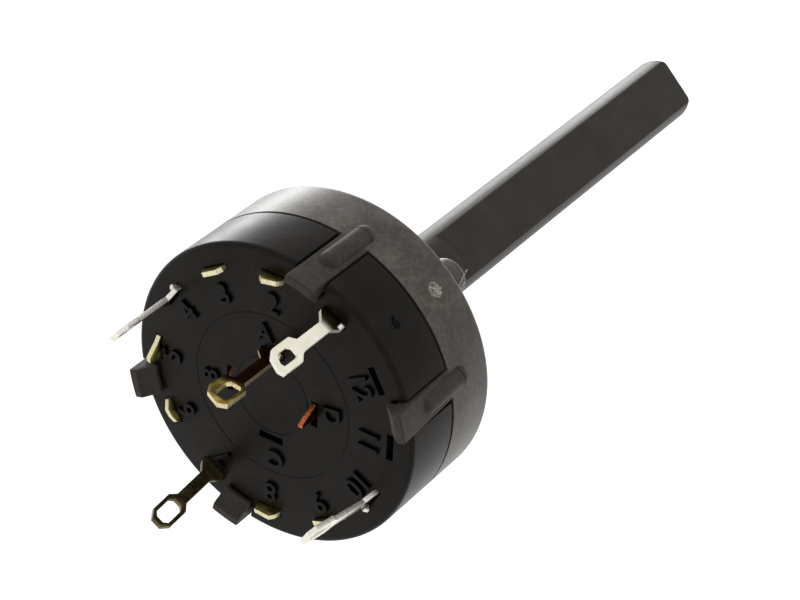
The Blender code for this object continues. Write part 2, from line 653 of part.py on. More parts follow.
def make_moving_contact():
    """Bent leaf that bridges the common ring and one outer contact."""
    flat = ROTOR_REAR - LEAF_SLOT_DEPTH + LEAF_REST_GAP + LEAF_THICKNESS / 2
    toe = HEAD_LOW - CONTACT_GAP - LEAF_THICKNESS / 2
    path = [(LEAF_INNER_R + x * TOE_LENGTH, toe + z * TOE_LENGTH) for x, z in TOE_INNER]
    path += [(LEAF_INNER_R + LEAF_RAMP_IN, flat), (LEAF_OUTER_R - LEAF_RAMP_OUT, flat)]
    path += [(LEAF_OUTER_R + x * TOE_LENGTH, toe + z * TOE_LENGTH) for x, z in TOE_OUTER]
    half = LEAF_WIDTH / 2
    mesh = prism("moving_contact", sheet_profile(path, LEAF_THICKNESS), -half, half, plane=ALONG_RADIUS)
    as_node(finish("moving_contact", mesh, POSITION_1), silver)

    low = ROTOR_REAR - LEAF_SLOT_DEPTH - SPRING_HOLE_DEPTH + SPRING_END_GAP
    high = flat - LEAF_THICKNESS / 2 - SPRING_END_GAP
    spring = coil("contact_spring", CONTACT_SPRING_R, CONTACT_WIRE_R, CONTACT_SPRING_TURNS, low, high)
    spring.transform(Matrix.Translation((CONTACT_SPRING_RADIUS, 0.0, 0.0)))
    as_node(finish("contact_spring", spring, POSITION_1, (CONTACT_SPRING_RADIUS, 0.0, low)), spring_steel)


def lug_outline(low, width, eye_width, eye_end):
    """Half widths up the lug, mirrored: blade, sloped shoulders, shank and eye."""
    face = REAR_FACE
    half = [(width / 2, low), (width / 2, face + SHOULDER_HEIGHT), (NECK_WIDTH / 2, face + NECK_HEIGHT),
            (NECK_WIDTH / 2, face + EYE_START), (eye_width / 2, face + EYE_START + EYE_SLOPE),
            (eye_width / 2, face + eye_end - EYE_TIP), (eye_width / 2 - EYE_TIP_INSET, face + eye_end)]
    return half + [(-x, z) for x, z in reversed(half)]


def eye_hole(hole_width, eye_end):
    """Long hole with its corners cut off."""
    low = REAR_FACE + EYE_START + EYE_WALL
    high = REAR_FACE + eye_end - EYE_WALL
    x, c = hole_width / 2, EYE_CORNER
    return [(x, low + c), (x, high - c), (x - c, high), (c - x, high),
            (-x, high - c), (-x, low + c), (c - x, low), (x - c, low)]


def ears(radius, width):
    """Side tabs of the blade, one bent out and one in, that lock it in its slot."""
    face = REAR_FACE
    half = SHEET / 2
    tip = radius + half + EAR_REACH
    bent = [(radius - half / 2, face + EAR_ROOT_LOW), (tip, face + EAR_HEIGHT - EAR_TIP_DROP),
            (tip - EAR_TIP_INSET, face + EAR_HEIGHT), (radius - half / 2, face + EAR_ROOT_HIGH)]
    inward = [(2 * radius - x, z) for x, z in bent]
    side = width / 2 - EAR_SIDE_INSET
    return merged("ears", [
        prism("ear", bent, -side, -side + EAR_WIDTH, plane=ALONG_RADIUS),
        prism("ear", inward[::-1], side - EAR_WIDTH, side, plane=ALONG_RADIUS)])


def make_terminals():
    """Ten outer terminals: a contact head on the floor, a blade in the slot, a lug or a stub."""
    middle = HEAD_LOW + SHEET / 2
    low = HEAD_LOW - CUT_MARGIN
    for number in range(1, 11):
        angle = POSITION_1 + PITCH * (number - 1)
        name = f"terminal_{number}"
        long_lug = number in LONG_LUGS
        height = EYE_END if long_lug else STUB_BLANK
        drift = height * math.tan(math.radians(LEANS.get(number, 0.0)))
        path = [(HEAD_INNER_R, middle), (OUTER_RING_R - BEND, middle),
                (OUTER_RING_R - 0.3 * BEND, middle + 0.3 * BEND), (OUTER_RING_R, middle + BEND),
                (OUTER_RING_R, REAR_FACE), (OUTER_RING_R + drift, REAR_FACE + height + SHEET)]
        half = BLADE_WIDTH / 2 + CUT_MARGIN
        strip = prism(name, sheet_profile(path, SHEET), -half, half, plane=ALONG_RADIUS)
        if long_lug:
            outline = lug_outline(low, BLADE_WIDTH, EYE_WIDTH, EYE_END)
            holes = (eye_hole(EYE_HOLE_WIDTH, EYE_END),)
        else:
            side, apex, shift = STUB_ENDS[number]
            x = BLADE_WIDTH / 2
            outline = [(-x, low), (x, low), (x, REAR_FACE + side),
                       (shift, REAR_FACE + apex), (-x, REAR_FACE + side)]
            holes = ()
        terminal = finish(name, strip, angle)
        blank = prism(name + "_blank", outline, HEAD_INNER_R - CUT_MARGIN, BODY_R, holes, ACROSS_RADIUS)
        boolean(terminal, finish(name + "_blank", blank, angle), "INTERSECT")
        if long_lug:
            boolean(terminal, finish(name + "_ears", ears(OUTER_RING_R, BLADE_WIDTH), angle), "UNION")
        as_node(terminal, silver if long_lug else gold, smooth=False)


def make_common_ring():
    """Ring that the moving contact slides on, with its lug and two short tabs."""
    ring = arc(0, 0, COMMON_OUTER_R, 0, 360, 48)[:-1]
    bore = arc(0, 0, COMMON_INNER_R, 0, 360, 48)[:-1]
    common = finish("common_ring", prism("common_ring", ring, HEAD_LOW, HEAD_TOP, holes=(bore,)))
    root = HEAD_LOW + SHEET / 2
    low, high = INNER_RING_R - SHEET / 2, INNER_RING_R + SHEET / 2
    outline = lug_outline(root, INNER_BLADE_WIDTH, COMMON_EYE_WIDTH, COMMON_EYE_END)
    holes = (eye_hole(COMMON_EYE_HOLE_WIDTH, COMMON_EYE_END),)
    lug = prism("common_lug", outline, low, high, holes, ACROSS_RADIUS)
    boolean(common, finish("common_lug", lug, COMMON_LUG_ANGLE), "UNION")
    boolean(common, finish("common_ears", ears(INNER_RING_R, INNER_BLADE_WIDTH), COMMON_LUG_ANGLE), "UNION")
    x = INNER_BLADE_WIDTH / 2
    for number, angle in enumerate(COMMON_TAB_ANGLES, 1):
        outline = [(-x, root), (x, root), (x, REAR_FACE + TAB_LOW), (-x * 0.2, REAR_FACE + TAB_HIGH),
                   (-x, REAR_FACE + TAB_HIGH)]
        tab = prism(f"common_tab_{number}", outline, low, high, plane=ACROSS_RADIUS)
        boolean(common, finish(f"common_tab_{number}", tab, angle), "UNION")
    as_node(common, bronze, smooth=False)


clear_scene()
parts = make_collection("rotary_switch")
cutters = make_collection("cutters")
switch_frame = bpy.data.objects.new("switch_frame", None)
switch_frame.rotation_euler = (math.radians(90), 0.0, math.radians(180))
parts.objects.link(switch_frame)

black_plastic = make_material("black_plastic", (0.035, 0.033, 0.031), 0.5, 0.0)
silver = make_material("silver_plate", (0.8, 0.78, 0.7), 0.3, 1.0)
gold = make_material("dull_gold_plate", (0.55, 0.45, 0.2), 0.35, 1.0)
bronze = make_material("bronze", (0.35, 0.24, 0.1), 0.35, 1.0)
zinc_steel = make_material("zinc_steel", (0.6, 0.6, 0.6), 0.4, 1.0)
polished_steel = make_material("polished_steel", (0.7, 0.7, 0.7), 0.15, 1.0)
spring_steel = make_material("spring_steel", (0.4, 0.4, 0.4), 0.3, 1.0)

make_front_housing()
make_stop_washer()
make_spindle()
make_detent()
make_moving_contact()
make_terminal_base()
make_common_ring()
make_terminals()
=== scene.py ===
"""Rotary switch seen from behind: black moulded body, solder lugs and a long flatted shaft.

Pieces are modelled in millimetres on a bench, the switch's axis upright and its panel
seat at zero, angles counted counter-clockwise as seen from the terminals. A finished
piece is then turned to metres and laid along the frame's y axis.
"""
import math
import random

import bmesh
import bpy
from mathutils import Matrix, Vector


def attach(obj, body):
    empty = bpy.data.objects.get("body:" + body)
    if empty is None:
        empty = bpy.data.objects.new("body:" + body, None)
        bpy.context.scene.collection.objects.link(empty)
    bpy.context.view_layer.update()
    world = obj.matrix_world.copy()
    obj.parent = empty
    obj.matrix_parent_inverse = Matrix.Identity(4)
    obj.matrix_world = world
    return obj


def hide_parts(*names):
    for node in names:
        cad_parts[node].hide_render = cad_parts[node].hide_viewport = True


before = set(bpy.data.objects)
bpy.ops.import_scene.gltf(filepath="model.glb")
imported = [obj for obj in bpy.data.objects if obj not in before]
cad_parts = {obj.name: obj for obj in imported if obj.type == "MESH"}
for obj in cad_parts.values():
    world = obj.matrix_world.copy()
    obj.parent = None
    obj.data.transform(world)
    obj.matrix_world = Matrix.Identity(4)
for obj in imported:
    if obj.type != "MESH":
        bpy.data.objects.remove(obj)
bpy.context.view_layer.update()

# Front housing: one moulding in glass-filled nylon with the cup, the threaded bush, the
# locating peg and four snap arms, whose noses hold the rear moulding on. The mould's
# halves meet half way up the ribs, and the gate left a rough scar on the skirt.
BODY_R = 13.0
CORNER_R = 0.6
SEAM = 5.25
REAR_FACE = 10.85
FLOOR = 1.5
RECESS = 0.6
BUSH_R = 5.0
BUSH_END = -7.5
THREAD_PITCH = 0.75
THREAD_DEPTH = 0.42
BUSH_ROOT_R = BUSH_R - THREAD_DEPTH
BORE_R = 3.15
CUP_R = 10.425
CUP_WAVE = 0.325
POSITION_1 = 57.0
POSITIONS = 12
PITCH = 30.0
HOLES = 11
FIRST_HOLE = 157.0
HOLE_INNER_R = 5.8
HOLE_OUTER_R = 7.8
FIXED_STOP = 225.5
ARM_ANGLES = (12.0, 72.0, 192.0, 252.0)
ARM_INNER_R = 11.9
ARM_HALF = 1.25
ARM_TIP = 12.45
NOSE_R = 11.2
NOSE_LOW = 10.97
SPLAY = 0.15
SPLAY_FROM = 9.5
RIB_R = 0.92
RIB_FRONT = 4.02
RIB_REAR = 8.45
PEG_R = 1.6
PEG_ORBIT = 10.8
PEG_ANGLE = 42.0
BENCH = Matrix.Rotation(math.pi, 4, "Z") @ Matrix.Rotation(math.pi / 2, 4, "X") @ Matrix.Scale(0.001, 4)


def work_on(piece):
    """Make a piece the only one selected, and active."""
    bpy.ops.object.select_all(action="DESELECT")
    piece.select_set(True)
    bpy.context.view_layer.objects.active = piece


def lathe(name, outline, steps, start=0.0, closed=True):
    """Spin an outline of (radius, height) points once about the bench's upright axis."""
    curve = bpy.data.curves.new(name, "CURVE")
    curve.dimensions = "3D"
    spline = curve.splines.new("POLY")
    spline.points.add(len(outline) - 1)
    for point, (radius, height) in zip(spline.points, outline):
        point.co = (radius * math.cos(start), radius * math.sin(start), height, 1.0)
    spline.use_cyclic_u = closed
    piece = bpy.data.objects.new(name, curve)
    bpy.context.scene.collection.objects.link(piece)
    work_on(piece)
    bpy.ops.object.convert(target="MESH")
    bpy.ops.object.mode_set(mode="EDIT")
    bpy.ops.mesh.select_all(action="SELECT")
    bpy.ops.mesh.spin(steps=steps, angle=math.tau, center=(0, 0, 0), axis=(0, 0, 1))
    tidy_mesh()
    bpy.ops.object.mode_set(mode="OBJECT")
    return bpy.context.object


def tidy_mesh():
    """In edit mode, merge doubles and turn all faces outwards."""
    bpy.ops.mesh.select_all(action="SELECT")
    bpy.ops.mesh.remove_doubles(threshold=0.0005)
    bpy.ops.mesh.normals_make_consistent(inside=False)


def pick(kind, test):
    """In edit mode, select only the vertices, edges or faces that pass a test."""
    bpy.ops.mesh.select_mode(type=kind)
    bpy.ops.mesh.select_all(action="DESELECT")
    mesh = bpy.context.edit_object.data
    shape = bmesh.from_edit_mesh(mesh)
    for item in {"VERT": shape.verts, "EDGE": shape.edges, "FACE": shape.faces}[kind]:
        item.select_set(bool(test(item)))
    shape.select_flush_mode()
    bmesh.update_edit_mesh(mesh)


def middle(item):
    """Middle of an edge or a face."""
    return sum((vert.co for vert in item.verts), Vector()) / len(item.verts)


def off(point, angle):
    """How many degrees a point lies from an angle about the axis."""
    return abs((math.degrees(math.atan2(point.y, point.x)) - angle + 180) % 360 - 180)


def combine(piece, other, operation):
    """Add another shape to a piece, or cut it away."""
    work_on(piece)
    modifier = piece.modifiers.new("combine", "BOOLEAN")
    modifier.operation = operation
    modifier.solver = "EXACT"
    modifier.object = other
    bpy.ops.object.modifier_apply(modifier=modifier.name)
    bpy.data.objects.remove(other, do_unlink=True)


def join(pieces, name):
    """Join shapes into one object, without merging them."""
    work_on(pieces[0])
    for piece in pieces[1:]:
        piece.select_set(True)
    bpy.ops.object.join()
    bpy.context.object.name = name
    return bpy.context.object


def around(piece, angles):
    """Turn copies of a piece about the axis to each angle, and drop the piece itself."""
    pieces = []
    for angle in angles:
        copy = bpy.data.objects.new(piece.name, piece.data.copy())
        bpy.context.scene.collection.objects.link(copy)
        copy.data.transform(Matrix.Rotation(math.radians(angle), 4, "Z"))
        pieces.append(copy)
    bpy.data.objects.remove(piece, do_unlink=True)
    return pieces


def set_in_frame(piece, name, body, material, nodes=()):
    """Lay a finished bench piece in the frame and say what it is."""
    work_on(piece)
    piece.name = name
    piece.matrix_world = BENCH @ piece.matrix_world
    bpy.ops.object.transform_apply(location=True, rotation=True, scale=True)
    bpy.ops.object.shade_smooth_by_angle(angle=math.radians(30))
    piece.data.materials.clear()
    for one in material if isinstance(material, (list, tuple)) else [material]:
        piece.data.materials.append(one)
    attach(piece, body)
    if nodes:
        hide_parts(*nodes)
    return piece


def linear(text):
    """An sRGB hex colour as linear red, green, blue and alpha."""
    parts = [int(text[i:i + 2], 16) / 255 for i in (1, 3, 5)]
    return tuple(c / 12.92 if c <= 0.04045 else ((c + 0.055) / 1.055) ** 2.4 for c in parts) + (1.0,)


def add(tree, kind, links=(), **settings):
    """Add a node with its settings; links gives its inputs a value or another node's output."""
    item = tree.nodes.new(kind)
    for name, value in settings.items():
        setattr(item, name, value)
    for socket, value in dict(links).items():
        if isinstance(value, bpy.types.NodeSocket):
            tree.links.new(value, item.inputs[socket])
        else:
            item.inputs[socket].default_value = value
    return item


def new_material(name):
    """A material with its node tree and its shader."""
    material = bpy.data.materials.new(name)
    material.use_nodes = True
    tree = material.node_tree
    return material, tree, tree.nodes["Principled BSDF"]


def ramp(tree, factor, stops):
    """Colour ramp between (place, hex colour) stops."""
    item = add(tree, "ShaderNodeValToRGB", {"Fac": factor})
    elements = item.color_ramp.elements
    for element, (place, colour) in zip((elements[0], elements[-1]), (stops[0], stops[-1])):
        element.position, element.color = place, linear(colour)
    for place, colour in stops[1:-1]:
        elements.new(place).color = linear(colour)
    return item.outputs["Color"]


quarter = [(math.cos(math.radians(a)), math.sin(math.radians(a))) for a in range(0, 91, 15)]
corner = [(BODY_R - CORNER_R + CORNER_R * c, CORNER_R - CORNER_R * s) for c, s in quarter]
housing = lathe("housing", [
    (BODY_R - 0.12, ARM_TIP), (BODY_R, ARM_TIP - 0.12), (BODY_R, SEAM), (BODY_R - 0.0001, 4.0)] + corner + [
    (9.4, 0.0), (9.3, 0.1), (9.3, RECESS), (HOLE_OUTER_R, RECESS), (HOLE_INNER_R, RECESS),
    (BUSH_ROOT_R, RECESS), (BUSH_ROOT_R, BUSH_END + 0.1), (BUSH_ROOT_R - 0.1, BUSH_END),
    (BORE_R + 0.4, BUSH_END), (BORE_R, BUSH_END + 0.4), (BORE_R, FLOOR), (HOLE_INNER_R - 0.1, FLOOR),
    (HOLE_INNER_R, FLOOR), (HOLE_OUTER_R, FLOOR), (HOLE_OUTER_R + 0.1, FLOOR), (CUP_R, FLOOR),
    (CUP_R, SEAM - 0.1), (11.25, SEAM - 0.1), (11.25, 4.5), (ARM_INNER_R, 4.5), (ARM_INNER_R, SEAM),
    (ARM_INNER_R, NOSE_LOW), (NOSE_R, NOSE_LOW), (NOSE_R, NOSE_LOW + 0.3), (BODY_R - 0.7, ARM_TIP)],
    360, start=math.radians(0.5))

# between the arms the wall ends at the seam
bpy.ops.object.mode_set(mode="EDIT")
pick("FACE", lambda f: middle(f).z > SEAM + 0.01 and min(off(middle(f), a) for a in ARM_ANGLES) > 5.5)
bpy.ops.mesh.delete(type="FACE")
for start, end in zip(ARM_ANGLES, ARM_ANGLES[1:] + (ARM_ANGLES[0] + 360,)):
    centre, reach = (start + end) / 2, (end - start) / 2
    pick("EDGE", lambda e: e.is_boundary and abs(middle(e).z - SEAM) < 0.01
         and abs(e.verts[0].co.z - e.verts[1].co.z) < 0.01 and off(middle(e), centre) < reach - 5)
    bpy.ops.mesh.bridge_edge_loops()
pick("EDGE", lambda e: e.is_boundary)
bpy.ops.mesh.fill_holes(sides=0)

# the sides of each arm are parallel, the first arm stands splayed, and edges are broken
arm_sides = bmesh.from_edit_mesh(housing.data)
for vert in arm_sides.verts:
    for angle in ARM_ANGLES:
        if vert.co.z > SEAM - 0.01 and vert.co.xy.length > NOSE_R - 0.1 and 5.3 < off(vert.co, angle) < 5.7:
            radius = vert.co.xy.length
            side = 1 if (math.degrees(math.atan2(vert.co.y, vert.co.x)) - angle + 180) % 360 > 180 else -1
            turn = math.radians(angle) + side * math.asin(ARM_HALF / radius)
            vert.co.xy = radius * math.cos(turn), radius * math.sin(turn)
outward = Vector((math.cos(math.radians(ARM_ANGLES[0])), math.sin(math.radians(ARM_ANGLES[0])), 0))
for vert in arm_sides.verts:
    if vert.co.z > SPLAY_FROM and off(vert.co, ARM_ANGLES[0]) < 15:
        vert.co += SPLAY * (vert.co.z - SPLAY_FROM) * outward
bmesh.update_edit_mesh(housing.data)
pick("EDGE", lambda e: middle(e).z > SEAM + 0.05 and any(len(f.verts) > 6 for f in e.link_faces))
bpy.ops.mesh.bevel(offset=0.12, segments=3, affect="EDGES")

# holes for the tongue of the stop washer, the fixed stop beside the last one
for number in range(HOLES):
    angle = FIRST_HOLE - PITCH * number
    pick("FACE", lambda f: HOLE_INNER_R < middle(f).xy.length < HOLE_OUTER_R
         and RECESS - 0.01 < middle(f).z < FLOOR + 0.01 and off(middle(f), angle) < 3.5)
    bpy.ops.mesh.delete(type="FACE")
    pick("EDGE", lambda e: e.is_boundary)
    bpy.ops.mesh.bridge_edge_loops()
pick("FACE", lambda f: HOLE_INNER_R - 0.1 < middle(f).xy.length < HOLE_OUTER_R + 0.1
     and abs(middle(f).z - FLOOR) < 0.01 and off(middle(f), FIXED_STOP) < 4.0)
bpy.ops.mesh.extrude_region_move(TRANSFORM_OT_translate={"value": (0, 0, 0.55)})
bpy.ops.object.mode_set(mode="OBJECT")

# rounded valleys round the cup, one for each position
for vert in housing.data.vertices:
    if abs(vert.co.xy.length - CUP_R) < 0.01:
        turn = math.atan2(vert.co.y, vert.co.x)
        radius = CUP_R + CUP_WAVE * math.cos(POSITIONS * (turn - math.radians(POSITION_1)))
        vert.co.xy = radius * math.cos(turn), radius * math.sin(turn)

# a capsule rib on each arm, and the round-ended locating peg
rib_ends = [(math.cos(math.radians(a)), math.sin(math.radians(a))) for a in range(-90, 91, 15)]
rib = lathe("rib", [(RIB_R * c, RIB_FRONT + RIB_R * s) for c, s in rib_ends[:7]]
            + [(RIB_R, 4.16), (RIB_R - 0.07, 4.2), (RIB_R - 0.02, 4.24)]
            + [((RIB_R - 0.02) * c, RIB_REAR + (RIB_R - 0.02) * s) for c, s in rib_ends[6:]],
            48, closed=False)
rib.data.transform(Matrix.Translation((BODY_R - 0.27, 0, 0)))
combine(housing, join(around(rib, ARM_ANGLES), "ribs"), "UNION")
bpy.ops.mesh.primitive_cylinder_add(vertices=64, radius=PEG_R, depth=2.9, location=(PEG_ORBIT, 0, -0.45))
peg = bpy.context.object
bpy.ops.object.transform_apply(location=True)
bpy.ops.object.mode_set(mode="EDIT")
pick("EDGE", lambda e: max(v.co.z for v in e.verts) < -1.8)
bpy.ops.mesh.bevel(offset=0.6, segments=6, affect="EDGES")
bpy.ops.object.mode_set(mode="OBJECT")
combine(housing, around(peg, [PEG_ANGLE])[0], "UNION")

# one ridge of thread winds up the bush
bpy.ops.mesh.primitive_plane_add(size=0.1)
thread = bpy.context.object
thread.name = "thread"
corners = ((BUSH_ROOT_R - 0.1, -0.33), (BUSH_R, -0.05), (BUSH_ROOT_R - 0.1, 0.33), (BUSH_R, 0.05))
for vert, (radius, height) in zip(thread.data.vertices, corners):
    vert.co = (radius, 0, height)
turns = thread.modifiers.new("turns", "SCREW")
turns.steps = turns.render_steps = 72
turns.iterations = 8
turns.screw_offset = THREAD_PITCH
work_on(thread)
bpy.ops.object.modifier_apply(modifier="turns")
bpy.ops.object.mode_set(mode="EDIT")
pick("EDGE", lambda e: e.is_boundary)
bpy.ops.mesh.fill_holes(sides=0)
tidy_mesh()
bpy.ops.object.mode_set(mode="OBJECT")
lowest = min(v.co.z for v in thread.data.vertices)
for vert in thread.data.vertices:
    vert.co.z += BUSH_END + 0.15 - lowest
    limit = BUSH_ROOT_R - 0.05 + max(0.0, vert.co.z - BUSH_END)
    if vert.co.xy.length > limit:
        vert.co.xy = vert.co.xy.normalized() * limit
combine(housing, thread, "UNION")


SPECK = 0.00006


def dusted(tree, place, colour, spacing, share):
    """A colour with specks of pale dust on it, one in each spacing (metres) at most."""
    cells = add(tree, "ShaderNodeTexVoronoi", {"Vector": place, "Scale": 1 / spacing})
    apart = add(tree, "ShaderNodeSeparateColor", {"Color": cells.outputs["Color"]})
    chosen = add(tree, "ShaderNodeMath", {0: apart.outputs["Red"], 1: share}, operation="LESS_THAN")
    reach = add(tree, "ShaderNodeMath", {0: apart.outputs["Green"], 1: SPECK / spacing},
                operation="MULTIPLY")
    speck = add(tree, "ShaderNodeMath", {0: cells.outputs["Distance"], 1: reach.outputs["Value"]},
                operation="LESS_THAN")
    both = add(tree, "ShaderNodeMath", {0: chosen.outputs["Value"], 1: speck.outputs["Value"]},
               operation="MULTIPLY")
    return add(tree, "ShaderNodeMix", {"Factor": both.outputs["Value"], "A": colour, "B": linear("#a8a39a")},
               data_type="RGBA").outputs["Result"]


# Moulded glass-filled nylon. Bush, arms and ribs are satin black; on the skirt the glass
# fibres break the surface into a dusty grey bloom with patches of 0.4 and 3 mm.
matt_nylon, tree, shader = new_material("matt_glass_filled_nylon")
place = add(tree, "ShaderNodeTexCoord").outputs["Object"]
cloud = add(tree, "ShaderNodeTexNoise", {"Vector": place, "Scale": 330.0, "Detail": 5.0, "Roughness": 0.7})
fibres = add(tree, "ShaderNodeTexNoise", {"Vector": place, "Scale": 2400.0, "Detail": 3.0, "Roughness": 0.6})
grain = add(tree, "ShaderNodeTexNoise", {"Vector": place, "Scale": 9000.0, "Detail": 2.0, "Roughness": 0.6})
mottle = add(tree, "ShaderNodeMix", {"Factor": 0.4, "A": cloud.outputs["Fac"], "B": fibres.outputs["Fac"]})
satin = ramp(tree, mottle.outputs["Result"], [(0.38, "#3b3632"), (0.5, "#47423d"), (0.62, "#544e48")])
dusty = ramp(tree, mottle.outputs["Result"], [(0.36, "#46413c"), (0.5, "#5d5750"), (0.64, "#767067")])
across = add(tree, "ShaderNodeVectorMath", {0: place, 1: (1, 0, 1)}, operation="MULTIPLY")
radius = add(tree, "ShaderNodeVectorMath", {0: across.outputs["Vector"]}, operation="LENGTH")
on_skirt = add(tree, "ShaderNodeMath", {0: radius.outputs["Value"], 1: 0.01302}, operation="LESS_THAN")
depth = add(tree, "ShaderNodeSeparateXYZ", {"Vector": place})
below = add(tree, "ShaderNodeMapRange", {"Value": depth.outputs["Y"], "From Min": 0.0054, "From Max": 0.0051})
on_skirt = add(tree, "ShaderNodeMath", {0: on_skirt.outputs["Value"], 1: below.outputs["Result"]},
               operation="MULTIPLY")
off_bush = add(tree, "ShaderNodeMapRange",
               {"Value": radius.outputs["Value"], "From Min": 0.006, "From Max": 0.009})
bloom = add(tree, "ShaderNodeMath", {0: on_skirt.outputs["Value"], 1: off_bush.outputs["Result"]},
            operation="MULTIPLY")
tone = add(tree, "ShaderNodeMix", {"Factor": bloom.outputs["Value"], "A": satin, "B": dusty},
           data_type="RGBA")
tree.links.new(dusted(tree, place, tone.outputs["Result"], 0.0011, 0.35), shader.inputs["Base Color"])
matt = add(tree, "ShaderNodeMapRange", {"Value": mottle.outputs["Result"], "To Min": 0.5, "To Max": 0.66})
rubbed = add(tree, "ShaderNodeMapRange", {"Value": mottle.outputs["Result"], "To Min": 0.28, "To Max": 0.42})
rough = add(tree, "ShaderNodeMix",
            {"Factor": bloom.outputs["Value"], "A": matt.outputs["Result"], "B": rubbed.outputs["Result"]})
tree.links.new(rough.outputs["Result"], shader.inputs["Roughness"])
relief = add(tree, "ShaderNodeMix", {"Factor": 0.5, "A": fibres.outputs["Fac"], "B": grain.outputs["Fac"]})
bump = add(tree, "ShaderNodeBump",
           {"Height": relief.outputs["Result"], "Strength": 0.25, "Distance": 0.00002})
tree.links.new(bump.outputs["Normal"], shader.inputs["Normal"])
shader.inputs["IOR"].default_value = 1.5
shader.inputs["Specular IOR Level"].default_value = 0.22
shader.inputs["Sheen Weight"].default_value = 0.12
shader.inputs["Sheen Roughness"].default_value = 0.3
set_in_frame(housing, "front_housing_moulding", "housing", matt_nylon, ["front_housing"])

# Marks of moulding on the housing: the rough scar where the gate was torn off the skirt, and
# a curl of flash beside the locating peg.
GATE_ANGLE = 42.3
GATE_LEVEL = 2.8
GATE_R = 0.66
FLASH = (
    ((9.76, 7.36, -0.05), (9.78, 7.36, -0.6), (9.8, 7.38, -1.1), (9.72, 7.58, -1.45), (9.6, 7.75, -1.2)),
    ((9.76, 7.36, -0.05), (9.74, 7.62, -0.6), (9.64, 7.92, -1.0), (9.56, 8.02, -1.5), (9.5, 8.12, -1.88)))

random.seed(4)
bpy.ops.mesh.primitive_ico_sphere_add(subdivisions=4, radius=GATE_R)
scar = bpy.context.object
bpy.ops.object.mode_set(mode="EDIT")
pick("VERT", lambda v: v.co.x > -0.1)
bpy.ops.transform.resize(value=(0.12, 1.0, 1.0), center_override=(0, 0, 0))
bpy.ops.object.mode_set(mode="OBJECT")
for vert in scar.data.vertices:
    if vert.co.x > -0.05:
        vert.co.x += random.uniform(-0.05, 0.07)
        vert.co.yz *= random.uniform(0.9, 1.05)
scar.data.transform(Matrix.Translation((BODY_R - 0.02, 0, GATE_LEVEL)))
marks = around(scar, [GATE_ANGLE])
for strand in FLASH:
    curve = bpy.data.curves.new("flash", "CURVE")
    curve.dimensions = "3D"
    curve.bevel_depth = 0.05
    curve.bevel_resolution = 2
    curve.use_fill_caps = True
    spline = curve.splines.new("NURBS")
    spline.points.add(len(strand) - 1)
    for point, co in zip(spline.points, strand):
        point.co = (*co, 1.0)
    spline.use_endpoint_u = True
    flash = bpy.data.objects.new("flash", curve)
    bpy.context.scene.collection.objects.link(flash)
    work_on(flash)
    bpy.ops.object.convert(target="MESH")
    bpy.ops.object.mode_set(mode="EDIT")
    tidy_mesh()
    bpy.ops.object.mode_set(mode="OBJECT")
    marks.append(bpy.context.object)

# Torn nylon: bare fibre ends and voids about 0.1 mm across, pale and black side by side.
torn_nylon, tree, shader = new_material("torn_nylon")
place = add(tree, "ShaderNodeTexCoord").outputs["Object"]
ends = add(tree, "ShaderNodeTexNoise", {"Vector": place, "Scale": 4200.0, "Detail": 4.0, "Roughness": 0.7})
tree.links.new(ramp(tree, ends.outputs["Fac"], [(0.36, "#2b2825"), (0.44, "#a09b92"), (0.56, "#e4e0d8")]),
               shader.inputs["Base Color"])
bump = add(tree, "ShaderNodeBump", {"Height": ends.outputs["Fac"], "Strength": 0.8, "Distance": 0.00006})
tree.links.new(bump.outputs["Normal"], shader.inputs["Normal"])
shader.inputs["Roughness"].default_value = 0.6
shader.inputs["Specular IOR Level"].default_value = 0.3
set_in_frame(join(marks, "marks"), "marks_of_moulding", "housing", torn_nylon)

# Stop washer: blanked zinc-plated steel ring that lies in the recess of the panel seat, its
# tongue bent through one of eleven holes to set the number of positions.
STOP_R = 6.8
TONGUE_ANGLE = 157.1


def block(x0, x1, y0, y1, z0, z1):
    """A box between two corners, for a cutter or a blank."""
    bpy.ops.mesh.primitive_cube_add(size=1, location=((x0 + x1) / 2, (y0 + y1) / 2, (z0 + z1) / 2))
    bpy.context.object.scale = (x1 - x0, y1 - y0, z1 - z0)
    bpy.ops.object.transform_apply(location=True, rotation=True, scale=True)
    return bpy.context.object


washer = lathe("washer", [(9.15, 0.12), (9.1, 0.075), (5.2, 0.075), (5.15, 0.12), (5.15, 0.48), (5.2, 0.525),
                          (9.1, 0.525), (9.15, 0.48)], 180)
window = block(STOP_R - 0.95, STOP_R + 0.95, 0.25, 1.85, -0.5, 1.0)
combine(washer, around(window, [TONGUE_ANGLE])[0], "DIFFERENCE")
tongue = block(STOP_R - 0.8, STOP_R + 0.8, -0.25, 0.25, 0.125, 2.05)
bpy.ops.object.mode_set(mode="EDIT")
pick("EDGE", lambda e: middle(e).z > 0.2)
bpy.ops.mesh.bevel(offset=0.06, segments=2, affect="EDGES")
bpy.ops.object.mode_set(mode="OBJECT")
combine(washer, around(tongue, [TONGUE_ANGLE])[0], "UNION")

